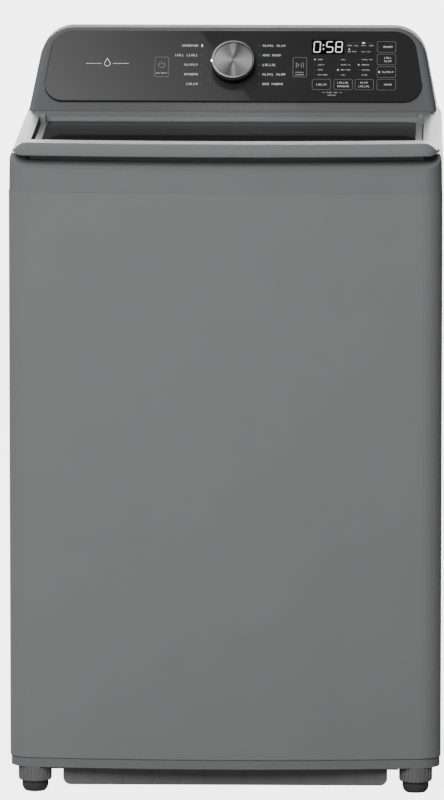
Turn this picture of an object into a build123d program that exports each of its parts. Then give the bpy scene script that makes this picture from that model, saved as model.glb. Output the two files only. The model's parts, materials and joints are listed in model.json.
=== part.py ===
from build123d import *
import math
import os

# Top load washing machine. Millimetres, X to the machine's left-right, front towards -Y, Z up.
# The origin is at floor level in the middle of the machine's outline.

# Overall size
WIDTH = 686.0
FRONT_Y = -340.0
BACK_Y = 350.0
HEIGHT = 1159.0
BOW = 22.0
FRONT_CORNER_R = 36.0
REAR_CORNER_R = 12.0

# Cabinet
SHEET = 1.2
BASE_Z = 41.5
RIM_TOP_Z = 55.8
SHELL_BOTTOM_Z = 57.2
SHELL_TOP_Z = 962.0
BACK_FLANGE = 25.0
PANEL_Y = BACK_Y - 2 * SHEET - 0.2

# Feet
FOOT_X = 303.0
FOOT_FRONT_Y = -296.0
FOOT_REAR_Y = 303.0
COLLAR_R = 25.2
COLLAR_BOTTOM_Z = 18.2
PAD_TOP_Z = 18.0
PAD_R = 21.0
STUD_R = 5.0
FOOT_RIBS = 24

# Top cover and lid
DECK_Z = 1000.0
SCOOP_Z = 998.4
SCOOP_RISE = 11.1
SCOOP_DEPTH = 16.2
SWEEP_X = 308.0
SWEEP_W = 34.0
SWEEP_H = 22.0
CORNER_TOP_Z = 1020.6
LEDGE_Z = 1031.0
SHOULDER_IN_X = 312.0
LID_X = 310.0
LID_BACK_Y = 185.0
LID_BOTTOM_Z = 1006.0
GLASS_TOP_Z = 1018.0
GLASS_T = 4.0
GLASS_X = 299.0
GLASS_BACK_Y = 175.0
BAR_FRONT_Y = -350.0
BAR_BACK_Y = -250.0
BAR_BOTTOM_Z = 1021.7
BAR_TOP_Z = 1040.6
HINGE_Y = 176.0
HINGE_Z = 1015.0
PIN_R = 4.0
RUN_GAP = 0.06
STRIKE_X = 262.0
STRIKE_Y = -262.0

# Console
FACE_TILT = 35.9
CREASE_Y = 208.0
CREASE_Z = 1033.0
CONSOLE_WALL = 3.0
FASCIA_Z = 1044.8
FASCIA_SLOPE = 133.0
FASCIA_PROUD = 5.0
KNOB_SLOPE = 66.7
KNOB_R = 35.5
KNOB_PROUD = 21.0
RISE = math.cos(math.radians(FACE_TILT))
RUN = math.sin(math.radians(FACE_TILT))
FASCIA_Y = CREASE_Y + (FASCIA_Z - CREASE_Z) * RUN / RISE
FACE = Plane(origin=(0, FASCIA_Y, FASCIA_Z), x_dir=(1, 0, 0), z_dir=(0, -RISE, RUN))

# Ports on the back and the detergent drawer
VALVE_X = 188.0
VALVE_Z = 905.0
DRAIN_X = -220.0
DRAIN_Z = 880.0
GLAND_X = -120.0
GLAND_Z = 905.0
POCKET_DEPTH = 17.0
PORT_GAP = 44.0
PORT_R = 13.45
DRAIN_R = 15.0
GLAND_BORE_R = 4.3
DRAWER_X = 70.0
DRAWER_Z0 = 966.0
DRAWER_Z1 = 990.0
DRAWER_BACK_Y = 296.0

# Wash unit
TUB_Y = -8.0
TUB_R = 279.0
TUB_WALL = 3.5
TUB_FLOOR_Z = 280.0
TUB_TOP_Z = 934.0
OPENING_R = 200.0
BASKET_R = 252.0
BASKET_FLOOR_Z = 318.0
BASKET_TOP_Z = 890.0
SPIN_TUBE_R = 20.0
SHAFT_R = 10.0
LUG_REACH = 262.0
LUG_Z = 405.0
ROD_R = 4.0
SPRING_BOTTOM_Z = 322.0
SPRING_TOP_Z = 392.0
ROD_TOP_Z = 926.0
DRAIN_PORT_X = -100.0
BEARING_R = 36.0
PULLEY_Z = 148.0
PULLEY_T = 14.0
DRIVE_PULLEY_R = 62.0
MOTOR_PULLEY_R = 18.0
BELT_T = 4.0
MOTOR_Y = TUB_Y + 160.0
PUMP_X = -172.0
PUMP_Y = TUB_Y - 60.0


# ---------------------------------------------------------------- helpers

def block(x0, x1, y0, y1, z0, z1):
    """Box between two corners."""
    centre = Pos((x0 + x1) / 2, (y0 + y1) / 2, (z0 + z1) / 2)
    return centre * Box(x1 - x0, y1 - y0, z1 - z0)


def post(x, y, z0, z1, radius):
    """Upright cylinder."""
    return Pos(x, y, (z0 + z1) / 2) * Cylinder(radius, z1 - z0)


def rod_x(x0, x1, y, z, radius):
    """Cylinder along X."""
    return Pos((x0 + x1) / 2, y, z) * Rot(0, 90, 0) * Cylinder(radius, x1 - x0)


def rod_y(y0, y1, x, z, radius):
    """Cylinder along Y."""
    return Pos(x, (y0 + y1) / 2, z) * Rot(90, 0, 0) * Cylinder(radius, y1 - y0)


def lathe(points, x=0.0, y=0.0):
    """Solid of revolution about an upright axis, from (radius, height) points."""
    section = make_face(Polyline([(r, 0, z) for r, z in points], close=True))
    return Pos(x, y, 0) * revolve(section, Axis.Z)


def ring(x, y, z0, z1, outer, inner):
    """Upright tube."""
    return post(x, y, z0, z1, outer) - post(x, y, z0 - 1, z1 + 1, inner)


def rounded(width, depth, radius):
    """Rounded rectangle in the XY plane."""
    return RectangleRounded(width, depth, radius)


def both_sides(shape):
    """The shape and its mirror image on the other side of the machine."""
    return Compound([shape, mirror(shape, Plane.YZ)])


def at_corners(shape):
    """Four copies, mirrored to the four corners about the wash unit's axis."""
    axis_plane = Plane(origin=(0, TUB_Y, 0), z_dir=(0, 1, 0))
    pair = [shape, mirror(shape, Plane.YZ)]
    return Compound(pair + [mirror(one, axis_plane) for one in pair])


def hose(points, radius, bends):
    """Round hose along straight runs joined by arcs."""
    path = FilletPolyline(*points, radius=bends)
    return sweep(Plane(origin=path @ 0, z_dir=path % 0) * Circle(radius), path)


def plan_outline(inset=0.0, advance=0.0, back=BACK_Y):
    """The machine seen from above: bowed front and rounded corners, drawn in by inset."""
    half = WIDTH / 2 - inset
    front = FRONT_Y + inset - advance
    rear = back - inset
    bow = ThreePointArc((-half, front + BOW), (0, front), (half, front + BOW))
    rest = Polyline((half, front + BOW), (half, rear), (-half, rear), (-half, front + BOW))
    face = make_face(Curve() + [bow, rest])
    front_corners = face.vertices().filter_by(lambda v: v.Y < 0)
    face = fillet(front_corners, FRONT_CORNER_R - inset)
    rear_corners = face.vertices().filter_by(lambda v: v.Y > rear - 1)
    return fillet(rear_corners, max(REAR_CORNER_R - inset, 2.0))


def slab(outline, z0, z1):
    """Outline raised between two heights."""
    return Pos(0, 0, z0) * extrude(outline, z1 - z0)


def front_silhouette(points, y0, y1):
    """Solid whose front view is the outline of (x, z) points, right half given."""
    left = [(-x, z) for x, z in reversed(points) if x > 0]
    face = make_face(Polyline([(x, y1, z) for x, z in points + left], close=True))
    return extrude(face, y1 - y0, dir=(0, -1, 0))


# ---------------------------------------------------------------- cabinet

def cabinet_shell():
    """Steel wrap: front, sides and the two folded flanges at the back."""
    outer = slab(plan_outline(), SHELL_BOTTOM_Z, SHELL_TOP_Z)
    inner = slab(plan_outline(SHEET), SHELL_BOTTOM_Z - 1, SHELL_TOP_Z + 1)
    open_x = WIDTH / 2 - BACK_FLANGE
    opening = block(-open_x, open_x, BACK_Y - 20, BACK_Y + 1, SHELL_BOTTOM_Z - 1, SHELL_TOP_Z + 1)
    return outer - inner - opening


def wall_pocket(x, z, width, height):
    """Dish pressed into the rear panel, as wall and hollow."""
    floor = PANEL_Y - POCKET_DEPTH
    wall = block(x - width / 2, x + width / 2, floor, PANEL_Y, z - height / 2, z + height / 2)
    w = width / 2 - SHEET
    h = height / 2 - SHEET
    hollow = block(x - w, x + w, floor + SHEET, PANEL_Y + SHEET + 1, z - h, z + h)
    return wall, hollow


def rear_panel():
    """Removable back sheet with stiffening ribs and two pockets for the connections."""
    half = WIDTH / 2 - 12.0
    panel = block(-half, half, PANEL_Y, PANEL_Y + SHEET, RIM_TOP_Z + 4, SHELL_TOP_Z - 3)
    rib_x = [-180.0, 0.0, 180.0]
    for x in rib_x:
        panel += block(x - 14, x + 14, PANEL_Y - 5, PANEL_Y, 160, 780)
        panel -= block(x - 12, x + 12, PANEL_Y - 3.8, PANEL_Y + SHEET + 1, 162, 778)
    valve_wall, valve_hollow = wall_pocket(VALVE_X, VALVE_Z, 130, 62)
    drain_wall, drain_hollow = wall_pocket(DRAIN_X, DRAIN_Z, 64, 64)
    panel = panel + valve_wall + drain_wall - valve_hollow - drain_hollow
    for x in (VALVE_X - PORT_GAP / 2, VALVE_X + PORT_GAP / 2):
        panel -= rod_y(PANEL_Y - POCKET_DEPTH - 1, PANEL_Y, x, VALVE_Z, PORT_R + 5)
    panel -= rod_y(PANEL_Y - POCKET_DEPTH - 1, PANEL_Y, DRAIN_X, DRAIN_Z, DRAIN_R + 5)
    panel -= rod_y(PANEL_Y - 2, PANEL_Y + SHEET + 1, GLAND_X, GLAND_Z, 9.0)
    for x, z in panel_screw_places():
        panel -= rod_y(PANEL_Y - 1, PANEL_Y + SHEET + 1, x, z, 1.8)
    return panel


def panel_screw_places():
    """Rear panel screws: along the bottom, up the sides and along the top."""
    edge_x = WIDTH / 2 - BACK_FLANGE - 6.0
    low = [(x, RIM_TOP_Z + 14) for x in (-edge_x, -105.0, 105.0, edge_x)]
    high = [(x, SHELL_TOP_Z - 13) for x in (-edge_x, -105.0, 105.0, edge_x)]
    return low + high + [(-edge_x, 500.0), (edge_x, 500.0)]


def base_frame():
    """Moulded base: the rim seen under the cabinet, corner decks and an upstand inside it."""
    rim = slab(plan_outline(1.8), BASE_Z, RIM_TOP_Z)
    upstand = slab(plan_outline(SHEET + 0.2), RIM_TOP_Z, RIM_TOP_Z + 22)
    upstand -= block(-WIDTH, WIDTH, PANEL_Y - 8, BACK_Y + 1, RIM_TOP_Z, RIM_TOP_Z + 23)
    upstand -= slab(plan_outline(4.2), RIM_TOP_Z, RIM_TOP_Z + 23)
    open_y = (FOOT_FRONT_Y + FOOT_REAR_Y) / 2
    window = Pos(0, open_y, BASE_Z - 1) * extrude(rounded(540, 530, 40), 40)
    base = rim + upstand - window
    for y in (FOOT_FRONT_Y, FOOT_REAR_Y):
        for x in (-FOOT_X, FOOT_X):
            base -= post(x, y, BASE_Z - 1, RIM_TOP_Z + 1, STUD_R + 2)
    return base


def front_plinth():
    """Ribbed guard that closes the gap between the front feet, with a web at each end."""
    half = 258.0
    back_y = -306.0
    low_z = 11.0
    outline = Pos(0, (low_z + BASE_Z) / 2 + 20) * rounded(2 * half, BASE_Z - low_z + 40, 12)
    guard = Pos(0, back_y, 0) * (Plane.XZ * extrude(outline, 2.5))
    guard -= block(-half - 1, half + 1, back_y - 10, back_y + 10, BASE_Z, 140)
    for x in (31.0, 75.5, 120.0, 164.5, 209.0, 239.5):
        guard += both_sides(block(x - 0.6, x + 0.6, back_y - 4.5, back_y - 2.5, low_z + 1, BASE_Z))
    guard += both_sides(block(half - 20, half + 18, back_y - 2.5, back_y, BASE_Z - 5, BASE_Z))
    guard += block(-half + 24, half - 24, back_y - 0.5, back_y + 18, BASE_Z - 2, BASE_Z)
    return guard


def foot_boss(x, y):
    """Ribbed collar under one corner, bored for the foot's stud."""
    collar = post(x, y, COLLAR_BOTTOM_Z, BASE_Z, COLLAR_R)
    for i in range(FOOT_RIBS):
        turn = Pos(x, y, 0) * Rot(0, 0, i * 360 / FOOT_RIBS)
        collar += turn * block(COLLAR_R - 1, COLLAR_R + 1.3, -1.2, 1.2, COLLAR_BOTTOM_Z + 2, BASE_Z)
    collar += post(x, y, BASE_Z, RIM_TOP_Z + 6, STUD_R + 1.9)
    return collar - post(x, y, COLLAR_BOTTOM_Z - 1, RIM_TOP_Z + 8, STUD_R + RUN_GAP)


def foot_bosses():
    places = [(x, y) for x in (-FOOT_X, FOOT_X) for y in (FOOT_FRONT_Y, FOOT_REAR_Y)]
    return Compound([foot_boss(x, y) for x, y in places])


def foot(x, y):
    """Screw foot: soft pad moulded on a steel stud."""
    pad = lathe([(0, 0), (PAD_R - 5, 0), (PAD_R - 1.5, 4), (PAD_R, 9), (PAD_R, PAD_TOP_Z),
                 (0, PAD_TOP_Z)], x, y)
    return pad + post(x, y, PAD_TOP_Z - 2, 84, STUD_R)


# ---------------------------------------------------------------- top cover

def shoulder_profile():
    """Front view of the top cover: upright sides that round over to the shoulders."""
    side = WIDTH / 2 - 0.8
    points = [(0, SHELL_TOP_Z), (side, SHELL_TOP_Z), (side - 1.2, 1012)]
    for i in range(1, 9):
        angle = math.radians(90 * i / 8)
        points.append((side - 1.2 - 23 * (1 - math.cos(angle)), 1012 + 19 * math.sin(angle)))
    return points + [(0, LEDGE_Z)]


def bow_radius():
    """Radius of the bowed front, seen from above."""
    return (WIDTH ** 2 / 4 + BOW ** 2) / (2 * BOW)


def front_setback(x):
    """How far the bowed, round-cornered front lies behind its foremost line at x."""
    bow_r = bow_radius()
    corner_x = WIDTH / 2 - FRONT_CORNER_R
    if x <= corner_x:
        return bow_r - math.sqrt(bow_r ** 2 - x ** 2)
    edge = bow_r - math.sqrt(bow_r ** 2 - corner_x ** 2)
    return edge + FRONT_CORNER_R - math.sqrt(max(FRONT_CORNER_R ** 2 - (x - corner_x) ** 2, 0))


def scoop_edge(x):
    """Height of the scoop's lower edge on the front face: level, then sweeping up at the corner."""
    reach = min(max((x - SWEEP_X) / SWEEP_W, 0), 1)
    return SCOOP_Z + SWEEP_H * (1 - math.sqrt(1 - reach ** 2))


def top_cover_front():
    """Front wall; the finger scoop slopes up and back from its lower edge to the lid."""
    rise = SCOOP_RISE / SCOOP_DEPTH
    steps = 28
    limit = [(0, SHELL_TOP_Z - 80)]
    for i in range(steps + 1):
        x = (WIDTH / 2 - 1) * math.sin(math.radians(90 * i / steps))
        limit.insert(1, (x, scoop_edge(x) - rise * front_setback(x)))
    limit.insert(1, (WIDTH / 2 + 5, limit[1][1]))
    limit.insert(1, (WIDTH / 2 + 5, SHELL_TOP_Z - 80))
    left = [(-x, z) for x, z in reversed(limit) if x > 0]
    face = make_face(Polyline([(x, FRONT_Y + 0.8, z) for x, z in limit + left], close=True))
    ramp = extrude(face, 150, dir=(0, SCOOP_DEPTH, SCOOP_RISE))
    return slab(plan_outline(0.8), SHELL_TOP_Z, CORNER_TOP_Z) & ramp


def top_cover():
    """Top moulding: scoop, shoulders, lid pocket, tub opening and the deck behind the lid."""
    back_start = BAR_BACK_Y + 2
    body = slab(plan_outline(0.8), SHELL_TOP_Z, LEDGE_Z)
    shoulders = front_silhouette(shoulder_profile(), FRONT_Y - 20, BACK_Y)
    body &= shoulders
    body -= block(-WIDTH, WIDTH, FRONT_Y - 20, back_start, SHELL_TOP_Z - 1, LEDGE_Z + 1)
    front = top_cover_front() & shoulders
    front -= block(-WIDTH, WIDTH, back_start, BACK_Y + 5, SHELL_TOP_Z - 1, LEDGE_Z + 9)
    cover = body + front
    # pocket for the lid
    pocket_front = slab(plan_outline(17.6), DECK_Z, LEDGE_Z + 20)
    pocket_front &= block(-SHOULDER_IN_X, SHOULDER_IN_X, FRONT_Y, 0, DECK_Z, LEDGE_Z + 20)
    cover -= pocket_front
    cover -= block(-SHOULDER_IN_X, SHOULDER_IN_X, -5, 190, DECK_Z, LEDGE_Z + 20)
    cover -= both_sides(block(301.5, SHOULDER_IN_X, 150, 200, DECK_Z, LEDGE_Z + 20))
    # hollow underneath
    cover -= slab(plan_outline(4), SHELL_TOP_Z - 1, DECK_Z - 4)
    cover -= both_sides(block(318, 336, -240, 330, DECK_Z - 5, 1016))
    cover -= block(-300, 300, 200, 338, DECK_Z - 5, LEDGE_Z - 4)
    # tub opening and its collar
    cover += ring(0, TUB_Y, 948, DECK_Z - 4, OPENING_R + 4, OPENING_R)
    cover -= post(0, TUB_Y, 900, LEDGE_Z - 12, OPENING_R)
    cover -= block(-DRAWER_X - 2, DRAWER_X + 2, 100, 215, DRAWER_Z0 - 2.5, DRAWER_Z1 + 2.5)
    # strike slot and locating tabs that drop inside the cabinet
    cover -= block(STRIKE_X - 9, STRIKE_X + 9, STRIKE_Y - 6, STRIKE_Y + 6, DECK_Z - 6, DECK_Z + 1)
    tab = block(WIDTH / 2 - 6, WIDTH / 2 - 4, -200, -160, SHELL_TOP_Z - 14, DECK_Z - 5)
    tab += block(WIDTH / 2 - 6, WIDTH / 2 - 4, 160, 200, SHELL_TOP_Z - 14, DECK_Z - 5)
    cover += both_sides(tab)
    for side in (-1, 1):
        cover -= rod_x(side * 317.5 - 5.5, side * 317.5 + 5.5, HINGE_Y, HINGE_Z, PIN_R)
    return cover


# ---------------------------------------------------------------- lid

def handle_bar():
    """Raised bar along the lid's front edge: bowed, convex to the front, slanted ends."""
    outline = plan_outline(4.5, advance=14.5)
    bar = slab(outline, BAR_BOTTOM_Z, BAR_TOP_Z)
    bar -= block(-WIDTH, WIDTH, BAR_BACK_Y, BACK_Y + 5, BAR_BOTTOM_Z - 1, BAR_TOP_Z + 1)
    front_edges = bar.edges().filter_by(lambda e: e.center().Z > BAR_TOP_Z - 0.1 and e.center().Y < -295)
    bar = fillet(front_edges, 16)
    ends = [(0, BAR_BOTTOM_Z - 1), (322, BAR_BOTTOM_Z - 1), (329, BAR_BOTTOM_Z + 1.6), (334.5, 1027.4)]
    ends += [(334.5, 1029), (328, 1035.2), (321, 1039.4), (315, BAR_TOP_Z + 0.01), (0, BAR_TOP_Z + 0.01)]
    bar &= front_silhouette(ends, BAR_FRONT_Y - 5, BAR_BACK_Y + 1)
    slope = Polyline((BAR_BACK_Y - 43, BAR_TOP_Z), (BAR_BACK_Y - 30, BAR_TOP_Z - 5),
                     (BAR_BACK_Y - 6, GLASS_TOP_Z + 4), (BAR_BACK_Y + 1, GLASS_TOP_Z + 3),
                     (BAR_BACK_Y + 1, BAR_TOP_Z + 1), (BAR_BACK_Y - 43, BAR_TOP_Z + 1), close=True)
    bow_axis = Axis((0, FRONT_Y + bow_radius(), 0), (0, 0, 1))
    half_turn = 9.0
    cut = revolve(Plane.YZ * make_face(slope), bow_axis, 2 * half_turn)
    return bar - cut.rotate(bow_axis, -half_turn)


def lid_frame():
    """Lid moulding: handle bar, side strips, raised rear edge and the window for the glass."""
    edge_top = GLASS_TOP_Z + 1.5
    plate = block(-LID_X, LID_X, -300, LID_BACK_Y, LID_BOTTOM_Z, edge_top)
    front = slab(plan_outline(19.4), LID_BOTTOM_Z, BAR_BOTTOM_Z)
    front &= block(-LID_X, LID_X, FRONT_Y, -290, 900, 1100)
    ridge = Polyline((GLASS_BACK_Y, edge_top), (LID_BACK_Y - 5.5, 1025), (LID_BACK_Y, 1025),
                     (LID_BACK_Y, edge_top), close=True)
    lid = plate + front + handle_bar()
    lid += block(-LID_X, LID_X, BAR_BACK_Y - 50, BAR_BACK_Y - 2, LID_BOTTOM_Z, BAR_BOTTOM_Z + 1)
    lid += Pos(-LID_X, 0, 0) * extrude(Plane.YZ * make_face(ridge), 2 * LID_X, dir=(1, 0, 0))
    rebate = Pos(0, (BAR_BACK_Y + GLASS_BACK_Y) / 2, GLASS_TOP_Z - GLASS_T)
    lid -= rebate * extrude(glass_outline(0.3), 10)
    lid -= block(-272, 272, -226, 150, LID_BOTTOM_Z - 1, GLASS_TOP_Z)
    hollow = slab(plan_outline(24), LID_BOTTOM_Z - 1, BAR_TOP_Z - 8)
    lid -= hollow & block(-300, 300, FRONT_Y, BAR_BACK_Y - 38, LID_BOTTOM_Z - 1, BAR_TOP_Z - 8)
    lid -= both_sides(rod_x(300, LID_X + 1, HINGE_Y, HINGE_Z, PIN_R + RUN_GAP))
    lid -= both_sides(block(300.5, LID_X + 1, HINGE_Y + 4.5, LID_BACK_Y + 1, LID_BOTTOM_Z - 1, 1030))
    return lid


def glass_outline(margin):
    """Rounded outline of the lid's glass, grown by margin."""
    depth = GLASS_BACK_Y - BAR_BACK_Y
    return rounded(2 * (GLASS_X + margin), depth + 2 * margin, 20 + margin)


def lid_glass():
    """Tempered glass panel in the lid."""
    place = Pos(0, (BAR_BACK_Y + GLASS_BACK_Y) / 2, GLASS_TOP_Z - GLASS_T)
    return place * extrude(glass_outline(0), GLASS_T)


def lid_inner_frame():
    """Inner ring that closes the lid moulding from below."""
    plate = slab(plan_outline(24), LID_BOTTOM_Z - 2.5, LID_BOTTOM_Z)
    plate &= block(-306, 306, FRONT_Y, 166, LID_BOTTOM_Z - 3, LID_BOTTOM_Z + 1)
    return plate - block(-268, 268, -222, 146, LID_BOTTOM_Z - 4, LID_BOTTOM_Z + 1)


def lid_bumpers():
    """Four soft stops under the lid."""
    spots = [(x, y) for x in (-292, 292) for y in (-290, 140)]
    return Compound([post(x, y, DECK_Z, LID_BOTTOM_Z - 2.5, 6) for x, y in spots])


def lid_hinge_arms():
    """Hinge block on each side of the lid, beside the shoulders."""
    arm = block(302.5, 311, HINGE_Y - 44, HINGE_Y - 4, GLASS_TOP_Z + 1.5, 1033)
    tops = arm.edges().filter_by(Axis.X).filter_by(lambda e: e.center().Z > 1032)
    return both_sides(fillet(tops, 5))


def lid_hinge_pins():
    """Pins fixed in the top cover that the lid turns on."""
    return both_sides(rod_x(301, 323, HINGE_Y, HINGE_Z, PIN_R))


def lid_strike():
    """Hook under the lid that the lock's bolt enters."""
    plate = block(STRIKE_X - 6, STRIKE_X + 6, STRIKE_Y - 2, STRIKE_Y + 2, 976, LID_BOTTOM_Z - 2.5)
    return plate - block(STRIKE_X - 3, STRIKE_X + 3, STRIKE_Y - 3, STRIKE_Y + 3, 980, 989)


def lid_lock_body():
    """Lock case under the deck, with a slot for the strike and a guide for the bolt."""
    case = block(STRIKE_X - 16, STRIKE_X + 22, STRIKE_Y - 13, STRIKE_Y + 33, 968, DECK_Z - 4)
    case -= block(STRIKE_X - 9, STRIKE_X + 9, STRIKE_Y - 6, STRIKE_Y + 6, 971, DECK_Z)
    return case - block(STRIKE_X - 2.6, STRIKE_X + 2.6, STRIKE_Y - 7, STRIKE_Y + 30, 981, 988)


def lid_lock_bolt():
    """Bolt that slides forward through the strike."""
    return block(STRIKE_X - 2.5, STRIKE_X + 2.5, STRIKE_Y + 5, STRIKE_Y + 20, 981.4, 987.6)


# ---------------------------------------------------------------- console

def on_face(shape, lift=0.0):
    """Place a shape drawn on the console's sloping face; lift is along its normal."""
    return FACE * (Pos(0, 0, lift) * shape)


def console_block(wall, edge_r):
    """Console form: sloping face, domed outline. wall draws every surface inwards."""
    face_shift = wall / RISE
    slope_top = CREASE_Y + face_shift + (HEIGHT - wall - CREASE_Z) * RUN / RISE
    back = BACK_Y - wall
    side = make_face(Plane.YZ * Polyline((CREASE_Y + face_shift, LEDGE_Z), (CREASE_Y + face_shift, CREASE_Z),
                                         (slope_top, HEIGHT - wall), (back, HEIGHT - wall), (back, LEDGE_Z),
                                         close=True))
    form = Pos(-WIDTH / 2, 0, 0) * extrude(side, WIDTH, dir=(1, 0, 0))
    lean = 0.195
    foot_x = 333.0 - wall
    top_x = foot_x - lean * (HEIGHT - LEDGE_Z)
    front = Polyline((foot_x, LEDGE_Z), (top_x, HEIGHT - wall), (-top_x, HEIGHT - wall),
                     (-foot_x, LEDGE_Z), close=True)
    outline = make_face(front)
    crown = outline.vertices().filter_by(lambda v: v.Y > HEIGHT - wall - 1)
    outline = fillet(crown, 55 - wall)
    dome = Pos(0, BACK_Y + 1, 0) * (Plane.XZ * extrude(outline, 200))
    form &= dome
    lean_face = form.faces().sort_by(lambda f: (f.normal_at() - FACE.z_dir).length)[0]
    rim = lean_face.edges().filter_by(lambda e: e.center().Z > CREASE_Z + 3)
    return fillet(rim, edge_r)


def console_housing():
    """Console shell, open at the back and below, with a seat for the fascia."""
    shell = console_block(0.0, 13.0) - console_block(CONSOLE_WALL, 10.0)
    behind = block(-WIDTH, WIDTH, BACK_Y - CONSOLE_WALL - 0.1, BACK_Y + 1, LEDGE_Z - 1, HEIGHT + 1)
    inside = console_block(CONSOLE_WALL, 10.0)
    rear_section = section_prism(inside)
    shell -= behind & rear_section
    shell -= on_face(extrude(fascia_outline(-12.0), 30), -15)
    return shell


def section_prism(inside):
    """The console's rear opening, raised backwards."""
    back_face = inside.faces().filter_by(Axis.Y).sort_by(Axis.Y)[-1]
    return extrude(back_face, 12, dir=(0, 1, 0))


def fascia_outline(grow):
    """Fascia outline on the sloping face: slightly tapered, rounded corners."""
    low = 312.8 + grow
    high = 294.3 + grow
    face = make_face(Polyline((-low, -grow), (low, -grow), (high, FASCIA_SLOPE + grow),
                              (-high, FASCIA_SLOPE + grow), close=True))
    bottom = face.vertices().filter_by(lambda v: v.Y < 30)
    face = fillet(bottom, 31 + grow)
    top = face.vertices().filter_by(lambda v: v.Y > FASCIA_SLOPE + grow - 1)
    return fillet(top, 38 + grow)


def fascia_panel():
    """Gloss control panel that stands proud of the console's face."""
    panel = on_face(extrude(fascia_outline(0), FASCIA_PROUD))
    rim = panel.faces().sort_by(lambda f: -(f.center() - FACE.origin).dot(FACE.z_dir))[0]
    panel = fillet(rim.edges(), 1.2)
    panel += on_face(extrude(fascia_outline(-12.4), 3), -3)
    return panel - on_face(Pos(0, KNOB_SLOPE, 0) * Cylinder(4.5, 40))


def console_rear_cover():
    """Plate that closes the console from behind, with vent slots."""
    inside = console_block(CONSOLE_WALL + 0.3, 9.7)
    plate = section_prism(inside)
    plate = plate & block(-WIDTH, WIDTH, BACK_Y - 3.0, BACK_Y - 0.6, LEDGE_Z, HEIGHT)
    for i in range(9):
        x = (i - 4) * 16.0
        plate -= block(x - 3, x + 3, BACK_Y - 6, BACK_Y + 1, 1070, 1110)
    for x, z in cover_screw_places():
        plate -= rod_y(BACK_Y - 6, BACK_Y + 1, x, z, 1.8)
    return plate


def cover_screw_places():
    """Console cover screws."""
    return [(-300, 1050), (300, 1050), (-150, 1150), (150, 1150), (-150, 1045), (150, 1045)]


def screws():
    """Pan head screws of the rear panel and the console cover."""
    made = []
    for x, z in panel_screw_places():
        seat = PANEL_Y + SHEET
        made.append(rod_y(seat, seat + 1.1, x, z, 3.6) + rod_y(seat - 9, seat, x, z, 1.75))
    for x, z in cover_screw_places():
        seat = BACK_Y - 0.6
        made.append(rod_y(seat, seat + 0.5, x, z, 3.6) + rod_y(seat - 9, seat, x, z, 1.75))
    return Compound(made)


def knob_disc(radius, low, high):
    """Disc about the knob's axis, between two heights above the fascia."""
    base = FASCIA_PROUD + low
    return on_face(Pos(0, KNOB_SLOPE, base) * extrude(Circle(radius), high - low))


def knob_skirt():
    """Dark body of the knob with its stem."""
    body = knob_disc(KNOB_R - 1.3, 0.8, 14)
    return body + knob_disc(3.0, -22, 1)


def knob_ring():
    """Bright ring around the knob's face."""
    band = knob_disc(KNOB_R, 14, KNOB_PROUD)
    outer_edge = band.edges().sort_by(lambda e: -e.center().dot(FACE.z_dir))[0]
    band = chamfer(outer_edge, 1.2)
    return band - knob_disc(KNOB_R - 3.5, 17, KNOB_PROUD + 2)


def knob_face():
    """Turned aluminium disc set into the ring."""
    return knob_disc(KNOB_R - 3.6, 17, KNOB_PROUD - 1.2)


def knob_encoder():
    """Rotary encoder behind the fascia, bored for the knob's stem."""
    case = on_face(Pos(0, KNOB_SLOPE, -16) * Box(26, 26, 10))
    bush = on_face(Pos(0, KNOB_SLOPE, -8) * Cylinder(4.4, 14))
    return case + bush - on_face(Pos(0, KNOB_SLOPE, 0) * Cylinder(3.0 + RUN_GAP, 70))


def display_board():
    """Circuit board behind the right of the fascia with the display module and key sensors."""
    board = on_face(Pos(180, 62, -11) * Box(170, 100, 1.6))
    display = on_face(Pos(152, 100, -6.6) * Box(56, 22, 7.2))
    board += display
    for u in (128, 164, 200, 252):
        board += on_face(Pos(u, 30, -6.6) * Cylinder(6, 7.2))
    return board


def control_box():
    """Main electronics box inside the console."""
    box = block(-230, -90, 290, 338, LEDGE_Z, 1085)
    lid_step = block(-234, -86, 286, 342, 1085, 1089)
    return box + lid_step


# ---------------------------------------------------------------- water in

def dispenser_housing():
    """Fixed box under the rear deck that the detergent drawer slides in."""
    half = DRAWER_X + 5.0
    case = block(-half, half, 199, DRAWER_BACK_Y + 6, DRAWER_Z0 - 6, DECK_Z - 4)
    case -= block(-DRAWER_X - 2, DRAWER_X + 2, 190, DRAWER_BACK_Y + 3, DRAWER_Z0 - 2.5, DRAWER_Z1 + 2.5)
    case -= post(0, TUB_Y, 900, 1100, OPENING_R + 4.1)
    return case - post(20, DRAWER_BACK_Y - 6, DRAWER_Z0 - 10, DRAWER_Z0, 7)


def dispenser_drawer():
    """Detergent drawer with two cups and a curved front."""
    body = block(-DRAWER_X, DRAWER_X, 150, DRAWER_BACK_Y, DRAWER_Z0, DRAWER_Z1)
    outside = post(0, TUB_Y, DRAWER_Z0 - 1, DRAWER_Z1 + 1, OPENING_R - 0.5)
    tail = block(-DRAWER_X - 1, DRAWER_X + 1, 178.5, DRAWER_BACK_Y + 1, DRAWER_Z0 - 1, DRAWER_Z1 + 1)
    body &= outside + tail
    body -= post(0, TUB_Y, DRAWER_Z0 - 1, DRAWER_Z1 + 1, OPENING_R - 6)
    cup_back = DRAWER_BACK_Y - 3
    cups = block(-DRAWER_X + 3, -6, 197, cup_back, DRAWER_Z0 + 3, DRAWER_Z1 + 1)
    cups += block(-3, DRAWER_X - 3, 197, cup_back, DRAWER_Z0 + 3, DRAWER_Z1 + 1)
    return body - cups


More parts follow.
